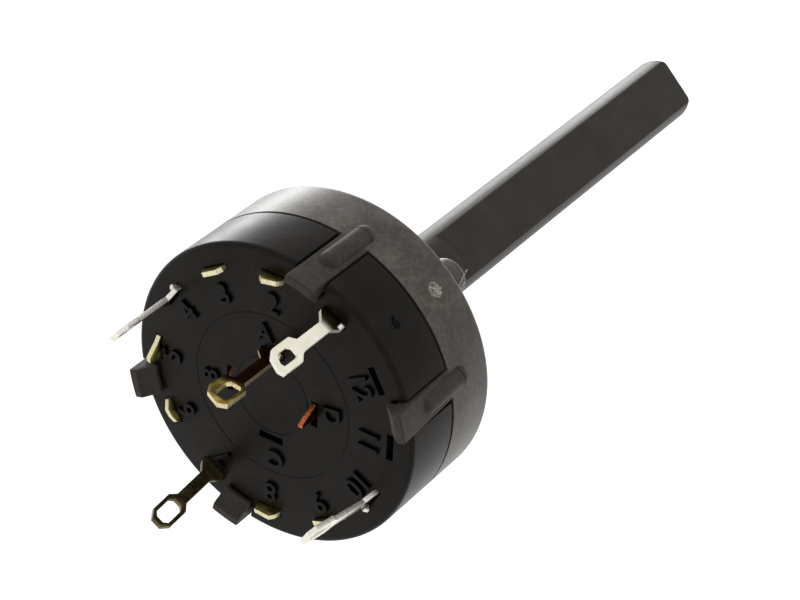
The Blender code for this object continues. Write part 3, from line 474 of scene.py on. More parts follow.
# Zinc-plated sheet steel: cool bright grey with a cloudy passivated film and rolling marks
# about 0.1 mm apart. It gives a broad, slightly blurred reflection.
zinc_plate, tree, shader = new_material("zinc_plated_steel")
place = add(tree, "ShaderNodeTexCoord").outputs["Object"]
film = add(tree, "ShaderNodeTexNoise", {"Vector": place, "Scale": 300.0, "Detail": 4.0})
rolled = add(tree, "ShaderNodeMapping", {"Vector": place, "Scale": (300, 300, 10000)})
rolling = add(tree, "ShaderNodeTexNoise", {"Vector": rolled.outputs["Vector"], "Scale": 1.0, "Detail": 2.0})
tree.links.new(ramp(tree, film.outputs["Fac"], [(0.3, "#a2a4a3"), (0.7, "#c3c4c0")]),
               shader.inputs["Base Color"])
rough = add(tree, "ShaderNodeMapRange", {"Value": film.outputs["Fac"], "To Min": 0.3, "To Max": 0.5})
tree.links.new(rough.outputs["Result"], shader.inputs["Roughness"])
bump = add(tree, "ShaderNodeBump", {"Height": rolling.outputs["Fac"], "Strength": 0.2, "Distance": 0.00001})
tree.links.new(bump.outputs["Normal"], shader.inputs["Normal"])
shader.inputs["Metallic"].default_value = 1.0
set_in_frame(washer, "stop_washer_blanked", "housing", zinc_plate, ["stop_washer"])

# Spindle: the long shaft with its flat, the rotor disc and the rear pivot in one nylon
# moulding, bored across for the detent balls and slotted for the moving contact.
SHAFT_R = 3.0
SHAFT_END = -50.8
FLAT_HEIGHT = 2.0
FLAT_START = -12.0
KEY_ANGLE = 42.0
BALL_R = 1.3
BALL_Z = 3.85
ROTOR_R = 9.5
ROTOR_FRONT = 1.75
ROTOR_REAR = 7.05
STOP_RIB_HALF = 7.5
STOP_GAP = 0.1

shaft_end = [(SHAFT_R - 0.4 + 0.4 * math.cos(math.radians(a)),
              SHAFT_END + 0.4 - 0.4 * math.sin(math.radians(a))) for a in range(0, 91, 18)]
spindle = lathe("spindle_shape", [
    (0, 9.05), (1.25, 9.05), (1.45, 8.85), (1.45, ROTOR_REAR), (ROTOR_R - 0.2, ROTOR_REAR),
    (ROTOR_R, ROTOR_REAR - 0.2), (ROTOR_R, ROTOR_FRONT + 0.2), (ROTOR_R - 0.2, ROTOR_FRONT),
    (8.2, ROTOR_FRONT), (5.4, ROTOR_FRONT), (SHAFT_R, ROTOR_FRONT)] + shaft_end + [(0, SHAFT_END)],
    144, start=math.radians(POSITION_1 - STOP_RIB_HALF + STOP_GAP), closed=False)

# a groove for the stops runs round the rotor's front, and the stop rib interrupts it
bpy.ops.object.mode_set(mode="EDIT")
pick("FACE", lambda f: 5.4 < middle(f).xy.length < 8.2 and abs(middle(f).z - ROTOR_FRONT) < 0.01
     and off(middle(f), POSITION_1 + 180) > STOP_RIB_HALF)
bpy.ops.mesh.extrude_region_move(TRANSFORM_OT_translate={"value": (0, 0, 0.6)})
bpy.ops.object.mode_set(mode="OBJECT")

# the flat, the slot of the moving contact, the bore of the balls and the spring's seat
flat_cut = block(FLAT_HEIGHT, 4.0, -4.0, 4.0, SHAFT_END - 1, FLAT_START)
combine(spindle, around(flat_cut, [KEY_ANGLE])[0], "DIFFERENCE")
combine(spindle, around(block(2.05, 10.5, -1.1, 1.1, 6.3, 7.5), [POSITION_1])[0], "DIFFERENCE")
bpy.ops.mesh.primitive_cylinder_add(vertices=40, radius=BALL_R, depth=21, location=(0, 0, BALL_Z),
                                    rotation=(0, math.pi / 2, 0))
bpy.ops.object.transform_apply(location=True, rotation=True)
combine(spindle, around(bpy.context.object, [POSITION_1 + 90])[0], "DIFFERENCE")
bpy.ops.mesh.primitive_cylinder_add(vertices=40, radius=1.05, depth=3.0, location=(6.22, 0, 5.23))
bpy.ops.object.transform_apply(location=True)
combine(spindle, around(bpy.context.object, [POSITION_1])[0], "DIFFERENCE")
work_on(spindle)
bpy.ops.object.mode_set(mode="EDIT")
flat_side = Vector((math.cos(math.radians(KEY_ANGLE)), math.sin(math.radians(KEY_ANGLE)), 0))
pick("EDGE", lambda e: all(abs(v.co.dot(flat_side) - FLAT_HEIGHT) < 0.001 for v in e.verts)
     and middle(e).z < FLAT_START + 0.01 and abs(e.verts[0].co.z - e.verts[1].co.z) > 5.0)
bpy.ops.mesh.bevel(offset=0.12, segments=3, affect="EDGES")
bpy.ops.object.mode_set(mode="OBJECT")

# The same nylon on the shaft, drawn smoother by a polished mould, with long drag marks from
# the ejection about 0.3 mm apart. It gives a streaked grey sheen along the flat.
drawn_nylon, tree, shader = new_material("black_nylon_shaft")
place = add(tree, "ShaderNodeTexCoord").outputs["Object"]
cloud = add(tree, "ShaderNodeTexNoise", {"Vector": place, "Scale": 350.0, "Detail": 4.0})
along = add(tree, "ShaderNodeMapping", {"Vector": place, "Scale": (3300, 60, 3300)})
drag = add(tree, "ShaderNodeTexNoise", {"Vector": along.outputs["Vector"], "Scale": 1.0, "Detail": 3.0})
grain = add(tree, "ShaderNodeTexNoise", {"Vector": place, "Scale": 7000.0, "Detail": 2.0})
tree.links.new(ramp(tree, cloud.outputs["Fac"], [(0.3, "#2e2924"), (0.6, "#39342e"), (0.8, "#443f38")]),
               shader.inputs["Base Color"])
rough = add(tree, "ShaderNodeMapRange", {"Value": drag.outputs["Fac"], "To Min": 0.36, "To Max": 0.52})
tree.links.new(rough.outputs["Result"], shader.inputs["Roughness"])
height = add(tree, "ShaderNodeMath", {0: drag.outputs["Fac"], 1: grain.outputs["Fac"]}, operation="ADD")
bump = add(tree, "ShaderNodeBump", {"Height": height.outputs["Value"], "Strength": 0.3, "Distance": 0.00003})
tree.links.new(bump.outputs["Normal"], shader.inputs["Normal"])
shader.inputs["IOR"].default_value = 1.5
shader.inputs["Specular IOR Level"].default_value = 0.2
set_in_frame(spindle, "spindle_moulding", "spindle", drawn_nylon, ["spindle"])

# Index balls and springs: hardened steel balls pressed out by one coil spring through the
# rotor, and a second spring under the contact leaf. All lie inside the closed body.

# Polished bearing steel: bright, with faint wear tracks about 0.1 mm wide.
ball_steel, tree, shader = new_material("polished_bearing_steel")
place = add(tree, "ShaderNodeTexCoord").outputs["Object"]
wear = add(tree, "ShaderNodeTexNoise", {"Vector": place, "Scale": 3000.0, "Detail": 3.0})
tree.links.new(ramp(tree, wear.outputs["Fac"], [(0.3, "#b9bab9"), (0.7, "#d2d2cf")]),
               shader.inputs["Base Color"])
rough = add(tree, "ShaderNodeMapRange", {"Value": wear.outputs["Fac"], "To Min": 0.08, "To Max": 0.25})
tree.links.new(rough.outputs["Result"], shader.inputs["Roughness"])
shader.inputs["Metallic"].default_value = 1.0

# Drawn spring wire: darker grey steel with die lines along the wire and a thin oil film.
wire_steel, tree, shader = new_material("drawn_spring_steel")
place = add(tree, "ShaderNodeTexCoord").outputs["Object"]
oil = add(tree, "ShaderNodeTexNoise", {"Vector": place, "Scale": 2500.0, "Detail": 3.0})
tree.links.new(ramp(tree, oil.outputs["Fac"], [(0.3, "#6d6c69"), (0.7, "#93918c")]),
               shader.inputs["Base Color"])
rough = add(tree, "ShaderNodeMapRange", {"Value": oil.outputs["Fac"], "To Min": 0.2, "To Max": 0.4})
tree.links.new(rough.outputs["Result"], shader.inputs["Roughness"])
shader.inputs["Metallic"].default_value = 1.0

for name, material in (("detent_ball_1", ball_steel), ("detent_ball_2", ball_steel),
                       ("detent_spring", wire_steel), ("contact_spring", wire_steel)):
    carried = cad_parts[name]
    carried.data.materials.clear()
    carried.data.materials.append(material)

# Rear moulding: the terminal carrier in the same nylon, slotted for twelve outer and four
# inner contacts, notched for the snap arms, with two turned lines and raised figures.
LINE_RADII = (3.4, 7.2)
EDGE_R = 0.4
OUTER_RING_R = 10.95
INNER_RING_R = 4.0
INNER_SLOTS = (87, 177, 267, 357)
RELIEF = 0.24
CAP_SHARE = 0.71

outline = [(0.0, REAR_FACE)]
for radius in LINE_RADII:
    outline += [(radius - 0.07, REAR_FACE), (radius, REAR_FACE - 0.05), (radius + 0.07, REAR_FACE)]
outline += [(BODY_R - EDGE_R + EDGE_R * s, REAR_FACE - EDGE_R + EDGE_R * c) for c, s in quarter]
outline += [(BODY_R, SEAM + 0.26), (BODY_R - 0.06, SEAM + 0.2), (11.75, SEAM + 0.2), (11.75, 4.85),
            (11.4, 4.85), (11.4, 8.35), (1.6, 8.35), (1.6, 9.35), (0.0, 9.35)]
base = lathe("base", outline, 360, closed=False)
slots = around(block(10.64, 11.26, -1.175, 1.175, 8.0, 11.5),
               [POSITION_1 + PITCH * i for i in range(POSITIONS)])
slots += around(block(3.69, 4.31, -1.125, 1.125, 8.0, 11.5), INNER_SLOTS)
combine(base, join(slots, "slots"), "DIFFERENCE")
combine(base, join(around(block(11.75, 13.5, -1.47, 1.47, 4.2, 11.5), ARM_ANGLES), "notches"), "DIFFERENCE")

# The rear moulding came from a polished mould: the same nylon, but smooth and nearly black,
# with soft cloudy patches about 2 mm across, faint scuffs and dust.
black_nylon, tree, shader = new_material("polished_black_nylon")
place = add(tree, "ShaderNodeTexCoord").outputs["Object"]
cloud = add(tree, "ShaderNodeTexNoise", {"Vector": place, "Scale": 450.0, "Detail": 4.0, "Roughness": 0.6})
grain = add(tree, "ShaderNodeTexNoise", {"Vector": place, "Scale": 6500.0, "Detail": 3.0, "Roughness": 0.6})
stretched = add(tree, "ShaderNodeMapping",
                {"Vector": place, "Rotation": (0.4, 0.9, 0.3), "Scale": (300, 3500, 3500)})
scuffs = add(tree, "ShaderNodeTexNoise", {"Vector": stretched.outputs["Vector"], "Scale": 1.0, "Detail": 2.0})
scuffed = add(tree, "ShaderNodeMapRange", {"Value": scuffs.outputs["Fac"], "From Min": 0.7, "From Max": 0.8})
tone = ramp(tree, cloud.outputs["Fac"], [(0.3, "#16120f"), (0.55, "#1e1a15"), (0.75, "#29241e")])
tone = add(tree, "ShaderNodeMix", {"Factor": scuffed.outputs["Result"], "A": tone, "B": linear("#3b3632")},
           data_type="RGBA")
tree.links.new(dusted(tree, place, tone.outputs["Result"], 0.0022, 0.3), shader.inputs["Base Color"])
rough = add(tree, "ShaderNodeMapRange", {"Value": cloud.outputs["Fac"], "To Min": 0.25, "To Max": 0.38})
tree.links.new(rough.outputs["Result"], shader.inputs["Roughness"])
bump = add(tree, "ShaderNodeBump", {"Height": grain.outputs["Fac"], "Strength": 0.3, "Distance": 0.00003})
tree.links.new(bump.outputs["Normal"], shader.inputs["Normal"])
shader.inputs["IOR"].default_value = 1.5
shader.inputs["Specular IOR Level"].default_value = 0.1
shader.inputs["Sheen Weight"].default_value = 0.1
shader.inputs["Sheen Roughness"].default_value = 0.3
set_in_frame(base, "rear_moulding", "housing", black_nylon, ["terminal_base"])


def figure(word, height, relief):
    """A figure as a solid that reaches as far above its ground as below it."""
    bpy.ops.object.text_add()
    letter = bpy.context.object
    letter.data.body = word
    letter.data.size = height / CAP_SHARE
    letter.data.align_x, letter.data.align_y = "CENTER", "CENTER"
    letter.data.extrude = relief
    letter.data.bevel_depth = 0.03
    letter.data.offset = 0.02
    bpy.ops.object.convert(target="MESH")
    bpy.ops.object.mode_set(mode="EDIT")
    tidy_mesh()
    bpy.ops.object.mode_set(mode="OBJECT")
    return letter


def raised(word, height, radius, angle):
    """A raised figure on the rear face, whose top points away from the axis."""
    letter = figure(word, height, RELIEF)
    place = Matrix.Translation((radius, 0, REAR_FACE)) @ Matrix.Rotation(-math.pi / 2, 4, "Z")
    letter.data.transform(Matrix.Rotation(math.radians(angle), 4, "Z") @ place)
    return letter


figures = [raised(word, 1.75, radius, angle) for word, radius, angle in (
    ("2", 8.5, 87), ("3", 8.8, 118), ("4", 9.15, 147), ("5", 9.5, 178), ("6", 9.4, 208), ("7", 9.1, 237),
    ("8", 9.05, 268), ("9", 9.3, 298), ("10", 9.4, 328), ("11", 9.0, 356), ("12", 9.25, 26), ("1", 9.0, 57))]
figures += [raised(word, 1.5, 5.7, angle) for word, angle in (("A", 94), ("B", 181), ("C", 273), ("D", 4))]
numeral = figure("6", 0.95, 0.05)
numeral.data.transform(Matrix.Translation((BODY_R, 0, 8.17))
                       @ Matrix(((0, 0, 1, 0), (0, 1, 0, 0), (-1, 0, 0, 0), (0, 0, 0, 1))))
figures += around(numeral, [41.8])

# the walls of the figures, and the whole small numeral on the side, take a near-black colour: painted shade
# for the walls in shadow and the shadows the figures cast
figure_wall_painted_shade, tree, shader = new_material("figure_wall_painted_shade_nylon")
place = add(tree, "ShaderNodeTexCoord").outputs["Object"]
wall_shade_noise = add(tree, "ShaderNodeTexNoise", {"Vector": place, "Scale": 5000.0, "Detail": 2.0})
tree.links.new(ramp(tree, wall_shade_noise.outputs["Fac"], [(0.3, "#050404"), (0.7, "#0d0b0a")]),
               shader.inputs["Base Color"])
rough = add(tree, "ShaderNodeMapRange", {"Value": wall_shade_noise.outputs["Fac"], "To Min": 0.25, "To Max": 0.4})
tree.links.new(rough.outputs["Result"], shader.inputs["Roughness"])
shader.inputs["Specular IOR Level"].default_value = 0.05
figures = set_in_frame(join(figures, "figures"), "raised_figures", "housing",
                       (black_nylon, figure_wall_painted_shade))
# faces that don't face back along the axis take the near-black painted shade
for polygon in figures.data.polygons:
    polygon.material_index = 1 if abs(polygon.normal.y) < 0.9 else 0

# Terminals: blanked from 0.42 mm brass strip, pushed through their slots and locked by two
# bent ears. Four keep their long solder lugs; six were cropped short with side cutters.
SHEET = 0.42
EDGE_BREAK = 0.04
BLADE = 2.15
NECK = 1.04
FOOT = 7.75
EAR_ANGLE = 42


def stamping(name, outline, holes=()):
    """Flat outline of (across, up) points as a piece of strip with its edges broken."""
    curve = bpy.data.curves.new(name, "CURVE")
    curve.dimensions = "2D"
    curve.fill_mode = "BOTH"
    curve.extrude = SHEET / 2 - EDGE_BREAK
    curve.bevel_depth = EDGE_BREAK
    curve.bevel_resolution = 1
    curve.offset = -EDGE_BREAK
    for loop in (outline, *holes):
        spline = curve.splines.new("POLY")
        spline.points.add(len(loop) - 1)
        for point, (x, y) in zip(spline.points, loop):
            point.co = (x, y, 0.0, 1.0)
        spline.use_cyclic_u = True
    piece = bpy.data.objects.new(name, curve)
    bpy.context.scene.collection.objects.link(piece)
    work_on(piece)
    bpy.ops.object.convert(target="MESH")
    bpy.ops.object.mode_set(mode="EDIT")
    tidy_mesh()
    bpy.ops.object.mode_set(mode="OBJECT")
    piece = bpy.context.object
    piece.data.transform(Matrix(((0, 0, 1, 0), (1, 0, 0, 0), (0, 1, 0, 0), (0, 0, 0, 1))))
    return piece


def bend(piece, level, degrees):
    """Bend a strip outwards at a level, about the line across it."""
    work_on(piece)
    bpy.ops.object.mode_set(mode="EDIT")
    for height in (level - 0.08, level + 0.08):
        bpy.ops.mesh.select_all(action="SELECT")
        bpy.ops.mesh.bisect(plane_co=(0, 0, height), plane_no=(0, 0, 1))
    mesh = piece.data
    shape = bmesh.from_edit_mesh(mesh)
    turn = Matrix.Rotation(math.radians(degrees), 4, "Y")
    for vert in shape.verts:
        if vert.co.z > level + 0.07:
            vert.co = turn @ (vert.co - Vector((0, 0, level))) + Vector((0, 0, level))
    bmesh.update_edit_mesh(mesh)
    bpy.ops.object.mode_set(mode="OBJECT")


def lug(name, width, outline, eye):
    """Blade that runs up from its slot into an outline and an eye of (across, above the face)."""
    half, above = width / 2, REAR_FACE + 0.5
    blade = [(-half, above), (-half, FOOT), (half, FOOT), (half, above)]
    return stamping(name, blade + [(x, REAR_FACE + z) for x, z in outline],
                    [[(x, REAR_FACE + z) for x, z in eye]])


def even(eye, hole, top):
    """Outline and eye of a lug that lies even on its blade, with narrow shank and cut corners."""
    half = [(NECK / 2, 1.25), (NECK / 2, 4.65), (eye / 2, 5.3), (eye / 2, top - 0.75), (eye / 2 - 0.5, top)]
    low, high, x, c = 5.2, top - 0.45, hole / 2, 0.34
    return half + [(-x, z) for x, z in reversed(half)], [
        (x, low + c), (x, high - c), (x - c, high), (c - x, high),
        (-x, high - c), (-x, low + c), (c - x, low), (x - c, low)]


# outlines of the two lugs whose eyes were punched off centre
LUG_1 = ([(0.4, 1.25), (0.41, 4.3), (0.93, 4.75), (0.94, 6.65), (0.42, 7.36), (-0.64, 7.72), (-1.16, 7.5),
          (-1.2, 5.4), (-0.75, 4.8), (-0.66, 4.5), (-0.64, 1.25)],
         [(0.4, 5.45), (0.38, 6.66), (0.22, 6.86), (-0.34, 7.12), (-0.64, 7.0), (-0.66, 5.55), (-0.46, 5.2),
          (0.12, 5.15)])
LUG_A = ([(0.21, 1.25), (0.23, 4.45), (1.05, 4.7), (1.18, 6.35), (0.75, 7.15), (-0.7, 7.9), (-1.46, 7.6),
          (-1.5, 5.4), (-0.86, 4.75), (-0.85, 1.25)],
         [(0.32, 5.4), (0.3, 6.72), (0.12, 6.94), (-0.86, 7.2), (-1.12, 7.02), (-1.13, 5.6), (-0.9, 5.25),
          (0.06, 5.1)])


def ear(side, outward, width):
    """Side tab of the blade, bent out or in above the slot."""
    tab = stamping("ear", [(-0.19, 0.0), (0.19, 0.0), (0.19, 0.52), (0.1, 0.64), (-0.1, 0.64), (-0.19, 0.52)])
    tab.data.transform(Matrix.Translation((0, side * (width / 2 - 0.19), REAR_FACE + 0.04))
                       @ Matrix.Rotation(math.radians(EAR_ANGLE * outward), 4, "Y"))
    return tab


# Silver-plated brass: warm white metal, a little tarnished. The rolled faces mirror their
# surroundings softly; the plating has cloudy patches about 1 mm across, and turns dark olive
# towards the foot, up to about 1 mm above the rear face and fading out by 1.5 mm.
silver_plate, tree, shader = new_material("silver_plated_brass")
place = add(tree, "ShaderNodeTexCoord").outputs["Object"]
height = add(tree, "ShaderNodeSeparateXYZ", {"Vector": place})
foot = add(tree, "ShaderNodeMapRange", {"Value": height.outputs["Y"], "From Min": 0.0124, "From Max": 0.0118})
tarnish = add(tree, "ShaderNodeTexNoise", {"Vector": place, "Scale": 900.0, "Detail": 4.0, "Roughness": 0.6})
rub = add(tree, "ShaderNodeTexNoise", {"Vector": place, "Scale": 5000.0, "Detail": 2.0})
bright = ramp(tree, tarnish.outputs["Fac"], [(0.25, "#ded7bf"), (0.5, "#e9e4d3"), (0.8, "#f0ece1")])
olive_near_foot = ramp(tree, tarnish.outputs["Fac"], [(0.3, "#3d3826"), (0.7, "#6f6847")])
tone = add(tree, "ShaderNodeMix", {"Factor": foot.outputs["Result"], "A": bright, "B": olive_near_foot},
           data_type="RGBA")
tree.links.new(tone.outputs["Result"], shader.inputs["Base Color"])
rough = add(tree, "ShaderNodeMapRange", {"Value": rub.outputs["Fac"], "To Min": 0.16, "To Max": 0.32})
tree.links.new(rough.outputs["Result"], shader.inputs["Roughness"])
bump = add(tree, "ShaderNodeBump", {"Height": rub.outputs["Fac"], "Strength": 0.2, "Distance": 0.00001})
tree.links.new(bump.outputs["Normal"], shader.inputs["Normal"])
shader.inputs["Metallic"].default_value = 1.0

# The sheared edges of the strip are torn and matt, so they scatter light and read white.
silver_edge, tree, shader = new_material("silver_plate_sheared_edge")
place = add(tree, "ShaderNodeTexCoord").outputs["Object"]
torn = add(tree, "ShaderNodeTexNoise", {"Vector": place, "Scale": 9000.0, "Detail": 3.0})
tree.links.new(ramp(tree, torn.outputs["Fac"], [(0.25, "#cfcabb"), (0.45, "#f2efe7"), (0.8, "#faf9f5")]),
               shader.inputs["Base Color"])
bump = add(tree, "ShaderNodeBump", {"Height": torn.outputs["Fac"], "Strength": 0.5, "Distance": 0.00004})
tree.links.new(bump.outputs["Normal"], shader.inputs["Normal"])
shader.inputs["Metallic"].default_value = 0.85
shader.inputs["Roughness"].default_value = 0.5

# Thin gold flash over brass on the cropped blades: dull dark gold faces, tarnished in spots.
gold_flash, tree, shader = new_material("gold_flashed_brass")
place = add(tree, "ShaderNodeTexCoord").outputs["Object"]
tarnish = add(tree, "ShaderNodeTexNoise", {"Vector": place, "Scale": 1500.0, "Detail": 4.0})
tree.links.new(ramp(tree, tarnish.outputs["Fac"], [(0.25, "#8a7a3c"), (0.5, "#b5a55e"), (0.8, "#cfc184")]),
               shader.inputs["Base Color"])
rough = add(tree, "ShaderNodeMapRange", {"Value": tarnish.outputs["Fac"], "To Min": 0.22, "To Max": 0.4})
tree.links.new(rough.outputs["Result"], shader.inputs["Roughness"])
shader.inputs["Metallic"].default_value = 1.0

# The cutters left the ends and edges of the cropped blades torn, so they read pale yellow.
gold_edge, tree, shader = new_material("gold_flash_cut_edge")
place = add(tree, "ShaderNodeTexCoord").outputs["Object"]
torn = add(tree, "ShaderNodeTexNoise", {"Vector": place, "Scale": 8000.0, "Detail": 3.0})
tree.links.new(ramp(tree, torn.outputs["Fac"], [(0.25, "#b3a76f"), (0.45, "#e3dcb4"), (0.8, "#f2eed6")]),
               shader.inputs["Base Color"])
bump = add(tree, "ShaderNodeBump", {"Height": torn.outputs["Fac"], "Strength": 0.5, "Distance": 0.00004})
tree.links.new(bump.outputs["Normal"], shader.inputs["Normal"])
shader.inputs["Metallic"].default_value = 0.85
shader.inputs["Roughness"].default_value = 0.45

# One lug has sulphided: the same plating gone dark brown, with lighter rubbed patches.
dark_plate, tree, shader = new_material("sulphided_silver_plate")
place = add(tree, "ShaderNodeTexCoord").outputs["Object"]
tarnish = add(tree, "ShaderNodeTexNoise", {"Vector": place, "Scale": 1400.0, "Detail": 4.0})
tree.links.new(ramp(tree, tarnish.outputs["Fac"], [(0.3, "#4a3f27"), (0.55, "#675b3b"), (0.8, "#8f8361")]),
               shader.inputs["Base Color"])
rough = add(tree, "ShaderNodeMapRange", {"Value": tarnish.outputs["Fac"], "To Min": 0.2, "To Max": 0.36})
tree.links.new(rough.outputs["Result"], shader.inputs["Roughness"])
shader.inputs["Metallic"].default_value = 0.55


def skew(piece, rise, twist):
    """Above the rear face, lean a strip sideways by rise mm in every mm and twist it by degrees."""
    for vert in piece.data.vertices:
        if vert.co.z > REAR_FACE + 0.6:
            vert.co.y += rise * (vert.co.z - REAR_FACE)
            vert.co.xy = Matrix.Rotation(math.radians(twist), 2) @ vert.co.xy


def paint_edges(piece, angle):
    """Give the sheared edges of a strip, which don't face along the radius, the second finish."""
    turn = math.radians(angle)
    out = Vector((-math.cos(turn), 0.0, math.sin(turn)))
    for polygon in piece.data.polygons:
        polygon.material_index = 1 if abs(polygon.normal.dot(out)) < 0.8 else 0


STUBS = {2: ((-1.05, 0.45), (-0.8, 0.9), (0.3, 1.25), (0.72, 0.9), (1.05, 0.2)),
         3: ((-1.05, 0.4), (-0.75, 0.8), (0.72, 0.85), (1.05, 0.35)),
         5: ((-1.05, 0.1), (-0.6, 0.35), (0.55, 1.25), (0.92, 1.2), (1.05, 0.6)),
         6: ((-1.05, 0.3), (-0.35, 0.75), (0.3, 0.7), (0.9, 0.45), (1.05, 0.1)),
         8: ((-1.05, 0.2), (-0.85, 0.9), (0.6, 1.0), (0.95, 0.6), (1.05, 0.2)),
         9: ((-1.05, 0.5), (0.2, 0.9), (1.05, 0.5))}
EYES = {4: (2.1, 1.1, 7.2), 7: (1.95, 1.3, 8.1), 10: (2.1, 1.1, 8.1)}
SKEWS = {4: (0.0, -8.8), 7: (0.068, 0.0), 10: (0.083, 0.0)}
LEANS = {2: 6.0, 3: -4.0, 5: 8.0, 6: 4.0, 8: 4.0, 9: -6.0, 10: -6.5}

for number in range(1, 11):
    angle = POSITION_1 + PITCH * (number - 1)
    if number in STUBS:
        points = [(-BLADE / 2, FOOT)] + [(x, REAR_FACE + z) for x, z in STUBS[number]] + [(BLADE / 2, FOOT)]
        blade = stamping(f"blade_{number}", points)
    else:
        outline, eye = LUG_1 if number == 1 else even(*EYES[number])
        blade = lug(f"blade_{number}", BLADE, outline, eye)
        skew(blade, *SKEWS.get(number, (0.0, 0.0)))
    if number in LEANS:
        bend(blade, REAR_FACE, LEANS[number])
    if number not in STUBS:
        blade = join([blade, ear(-1, 1, BLADE), ear(1, -1, BLADE)], blade.name)
    blade.data.transform(Matrix.Translation((OUTER_RING_R, 0, 0)))
    combine(blade, block(8.0, OUTER_RING_R + 0.15, -BLADE / 2, BLADE / 2, 7.78, 8.2), "UNION")
    blade = around(blade, [angle])[0]
    slot, finish = "silver_plate", (silver_plate, silver_edge)
    if number in STUBS:
        slot, finish = "gold_plate", (gold_flash, gold_edge)
    elif number == 7:
        finish = (dark_plate, silver_edge)
    set_in_frame(blade, f"terminal_{number}_strip", "housing", finish, [f"terminal_{number}"])
    if number != 7:
        paint_edges(blade, angle)

# Common contact: phosphor bronze ring that the moving contact slides on, with solder lug A
# and two cropped tabs, all blanked in one piece. The bare bronze is dark brown along the
# shank and turns olive at the eye, about 5 mm above the rear face.
LUG_A_WIDTH = 2.05

common_bronze, tree, shader = new_material("tarnished_phosphor_bronze")
place = add(tree, "ShaderNodeTexCoord").outputs["Object"]
tarnish = add(tree, "ShaderNodeTexNoise",
              {"Vector": place, "Scale": 1200.0, "Detail": 5.0, "Roughness": 0.65})
height = add(tree, "ShaderNodeSeparateXYZ", {"Vector": place})
eye = add(tree, "ShaderNodeMapRange", {"Value": height.outputs["Y"], "From Min": 0.0156, "From Max": 0.0164})
brown = ramp(tree, tarnish.outputs["Fac"], [(0.3, "#2c1508"), (0.55, "#43230f"), (0.8, "#6b4724")])
olive = ramp(tree, tarnish.outputs["Fac"], [(0.3, "#5c4f1e"), (0.5, "#94803a"), (0.7, "#c2ab62")])
tone = add(tree, "ShaderNodeMix", {"Factor": eye.outputs["Result"], "A": brown, "B": olive}, data_type="RGBA")
tree.links.new(tone.outputs["Result"], shader.inputs["Base Color"])
rough = add(tree, "ShaderNodeMapRange", {"Value": tarnish.outputs["Fac"], "To Min": 0.2, "To Max": 0.38})
tree.links.new(rough.outputs["Result"], shader.inputs["Roughness"])
shader.inputs["Metallic"].default_value = 0.75

# The sheared edges of the bronze are matt and have kept a pale straw colour.
bronze_edge, tree, shader = new_material("bronze_sheared_edge")
place = add(tree, "ShaderNodeTexCoord").outputs["Object"]
torn = add(tree, "ShaderNodeTexNoise", {"Vector": place, "Scale": 8000.0, "Detail": 3.0})
tree.links.new(ramp(tree, torn.outputs["Fac"], [(0.25, "#b39a66"), (0.5, "#ddcda2"), (0.8, "#f1e8cc")]),
               shader.inputs["Base Color"])
shader.inputs["Metallic"].default_value = 0.9
shader.inputs["Roughness"].default_value = 0.42

# Where the two inner tabs were cropped the bare alloy shows, orange and not yet tarnished.
fresh_cut, tree, shader = new_material("fresh_cut_bronze")
place = add(tree, "ShaderNodeTexCoord").outputs["Object"]
torn = add(tree, "ShaderNodeTexNoise", {"Vector": place, "Scale": 6000.0, "Detail": 3.0})
tree.links.new(ramp(tree, torn.outputs["Fac"], [(0.25, "#8a3f17"), (0.5, "#b8652f"), (0.8, "#dba27c")]),
               shader.inputs["Base Color"])
shader.inputs["Metallic"].default_value = 0.9
shader.inputs["Roughness"].default_value = 0.4

common = lathe("common", [(3.05, 7.78), (4.85, 7.78), (4.85, 8.2), (3.05, 8.2)], 120)
lug_a = lug("lug_a", LUG_A_WIDTH, *LUG_A)
lug_a = join([lug_a, ear(-1, 1, LUG_A_WIDTH), ear(1, -1, LUG_A_WIDTH)], "lug_a")
lug_a.data.transform(Matrix.Translation((INNER_RING_R, 0, 0)))
uprights = around(lug_a, [INNER_SLOTS[0]])
for angle, cut in ((INNER_SLOTS[1], ((-1.02, -0.45), (-0.35, -0.08), (0.25, -0.05), (1.02, -0.4))),
                   (INNER_SLOTS[3], ((-0.3, 0.0), (-0.15, 1.85), (0.1, 1.85), (0.4, 1.3), (1.02, 0.1)))):
    foot = [(1.02, REAR_FACE - 0.9), (1.02, 7.85), (-1.02, 7.85), (-1.02, REAR_FACE - 0.9)]
    tab = stamping("tab", foot + [(x, REAR_FACE + z) for x, z in cut])
    tab.data.transform(Matrix.Translation((INNER_RING_R, 0, 0)))
    uprights += around(tab, [angle])
combine(common, join(uprights, "uprights"), "UNION")
set_in_frame(common, "common_contact", "housing", (common_bronze, bronze_edge, fresh_cut),
             ["common_ring"])
paint_edges(common, INNER_SLOTS[0])
for polygon in common.data.polygons:
    if polygon.center.y < REAR_FACE / 1000 + 0.00001:
        polygon.material_index = 0
    elif abs(polygon.center.x) > 0.0025:
        polygon.material_index = 2 if abs(polygon.normal.x) < 0.8 else 0

# Moving contact: bent leaf of silver-plated bronze that bridges the common ring and one
# outer contact, pressed by its spring. It lies inside the closed body.
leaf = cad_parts["moving_contact"]
leaf.data.materials.clear()
leaf.data.materials.append(silver_plate)

# Floor, world, lamp and camera: a plain pale studio with one broad soft lamp low behind
# the object, seen from where the photograph was taken.


def seen_directly(tree):
    """1 for what the camera, a reflection or a transparent surface sees, 0 for light on a surface."""
    path = add(tree, "ShaderNodeLightPath")
    direct = add(tree, "ShaderNodeMath", {0: path.outputs["Is Camera Ray"], 1: path.outputs["Is Glossy Ray"]},
                 operation="ADD", use_clamp=True)
    return add(tree, "ShaderNodeMath", {0: direct.outputs["Value"], 1: path.outputs["Is Transmission Ray"]},
               operation="ADD", use_clamp=True).outputs["Value"]


bpy.ops.mesh.primitive_plane_add(size=6, location=(0, 0, -0.03))
floor = bpy.context.object
floor.name = "studio_floor"

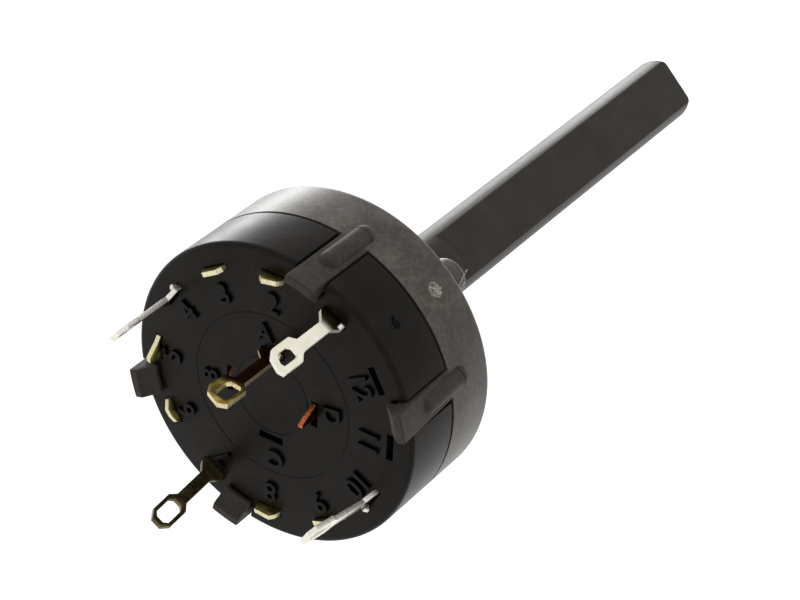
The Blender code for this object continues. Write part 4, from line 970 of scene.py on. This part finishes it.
# Matt pale card, lit up to white where it is seen directly, so that it keeps the shadow.
pale, tree, shader = new_material("pale_studio_floor")
shader.inputs["Base Color"].default_value = linear("#e9e8e6")
shader.inputs["Roughness"].default_value = 0.9
white = add(tree, "ShaderNodeEmission", {"Color": (1, 1, 1, 1), "Strength": 0.7})
glow = add(tree, "ShaderNodeAddShader", {0: shader.outputs["BSDF"], 1: white.outputs["Emission"]})
blend = add(tree, "ShaderNodeMixShader",
            {0: seen_directly(tree), 1: shader.outputs["BSDF"], 2: glow.outputs["Shader"]})
tree.links.new(blend.outputs["Shader"], tree.nodes["Material Output"].inputs["Surface"])
floor.data.materials.append(pale)

world = bpy.data.worlds.new("studio")
bpy.context.scene.world = world
world.use_nodes = True
tree = world.node_tree
sky = tree.nodes["Background"]
direction = add(tree, "ShaderNodeTexCoord").outputs["Generated"]
axis = add(tree, "ShaderNodeVectorMath", {0: direction, 1: (0.55, -0.57, 0.61)}, operation="DOT_PRODUCT")
place = add(tree, "ShaderNodeMapRange", {"Value": axis.outputs["Value"], "From Min": -1.0, "From Max": 1.0})
level = ramp(tree, place.outputs["Result"],
             [(0.0, "#303030"), (0.35, "#646464"), (0.65, "#b8b8b8"), (1.0, "#ffffff")])
shown = add(tree, "ShaderNodeMix", {"Factor": seen_directly(tree), "A": level, "B": (1, 1, 1, 1)},
            data_type="RGBA")
tree.links.new(shown.outputs["Result"], sky.inputs["Color"])
sky.inputs["Strength"].default_value = 1.0

bpy.ops.object.light_add(type="AREA", location=(0.46, -0.45, 0.044))
lamp = bpy.context.object
lamp.name = "soft_back_lamp"
lamp.data.shape = "RECTANGLE"
lamp.data.size = 0.45
lamp.data.size_y = 0.13
lamp.data.energy = 1.8
lamp.rotation_euler = (Vector((0, 0, 0)) - lamp.location).to_track_quat("-Z", "Y").to_euler()

camera_data = bpy.data.cameras.new("photo_camera")
camera = bpy.data.objects.new("photo_camera", camera_data)
bpy.context.scene.collection.objects.link(camera)
camera.location = (-0.09959, 0.14130, 0.11096)
aim = Vector((-0.002374, -0.00325, 0.002197))
camera.rotation_euler = (aim - camera.location).to_track_quat("-Z", "Y").to_euler()
camera_data.lens = 115.9
camera_data.sensor_width = 36.0
camera_data.clip_start = 0.005
bpy.context.scene.camera = camera
bpy.context.scene.view_settings.view_transform = "Standard"
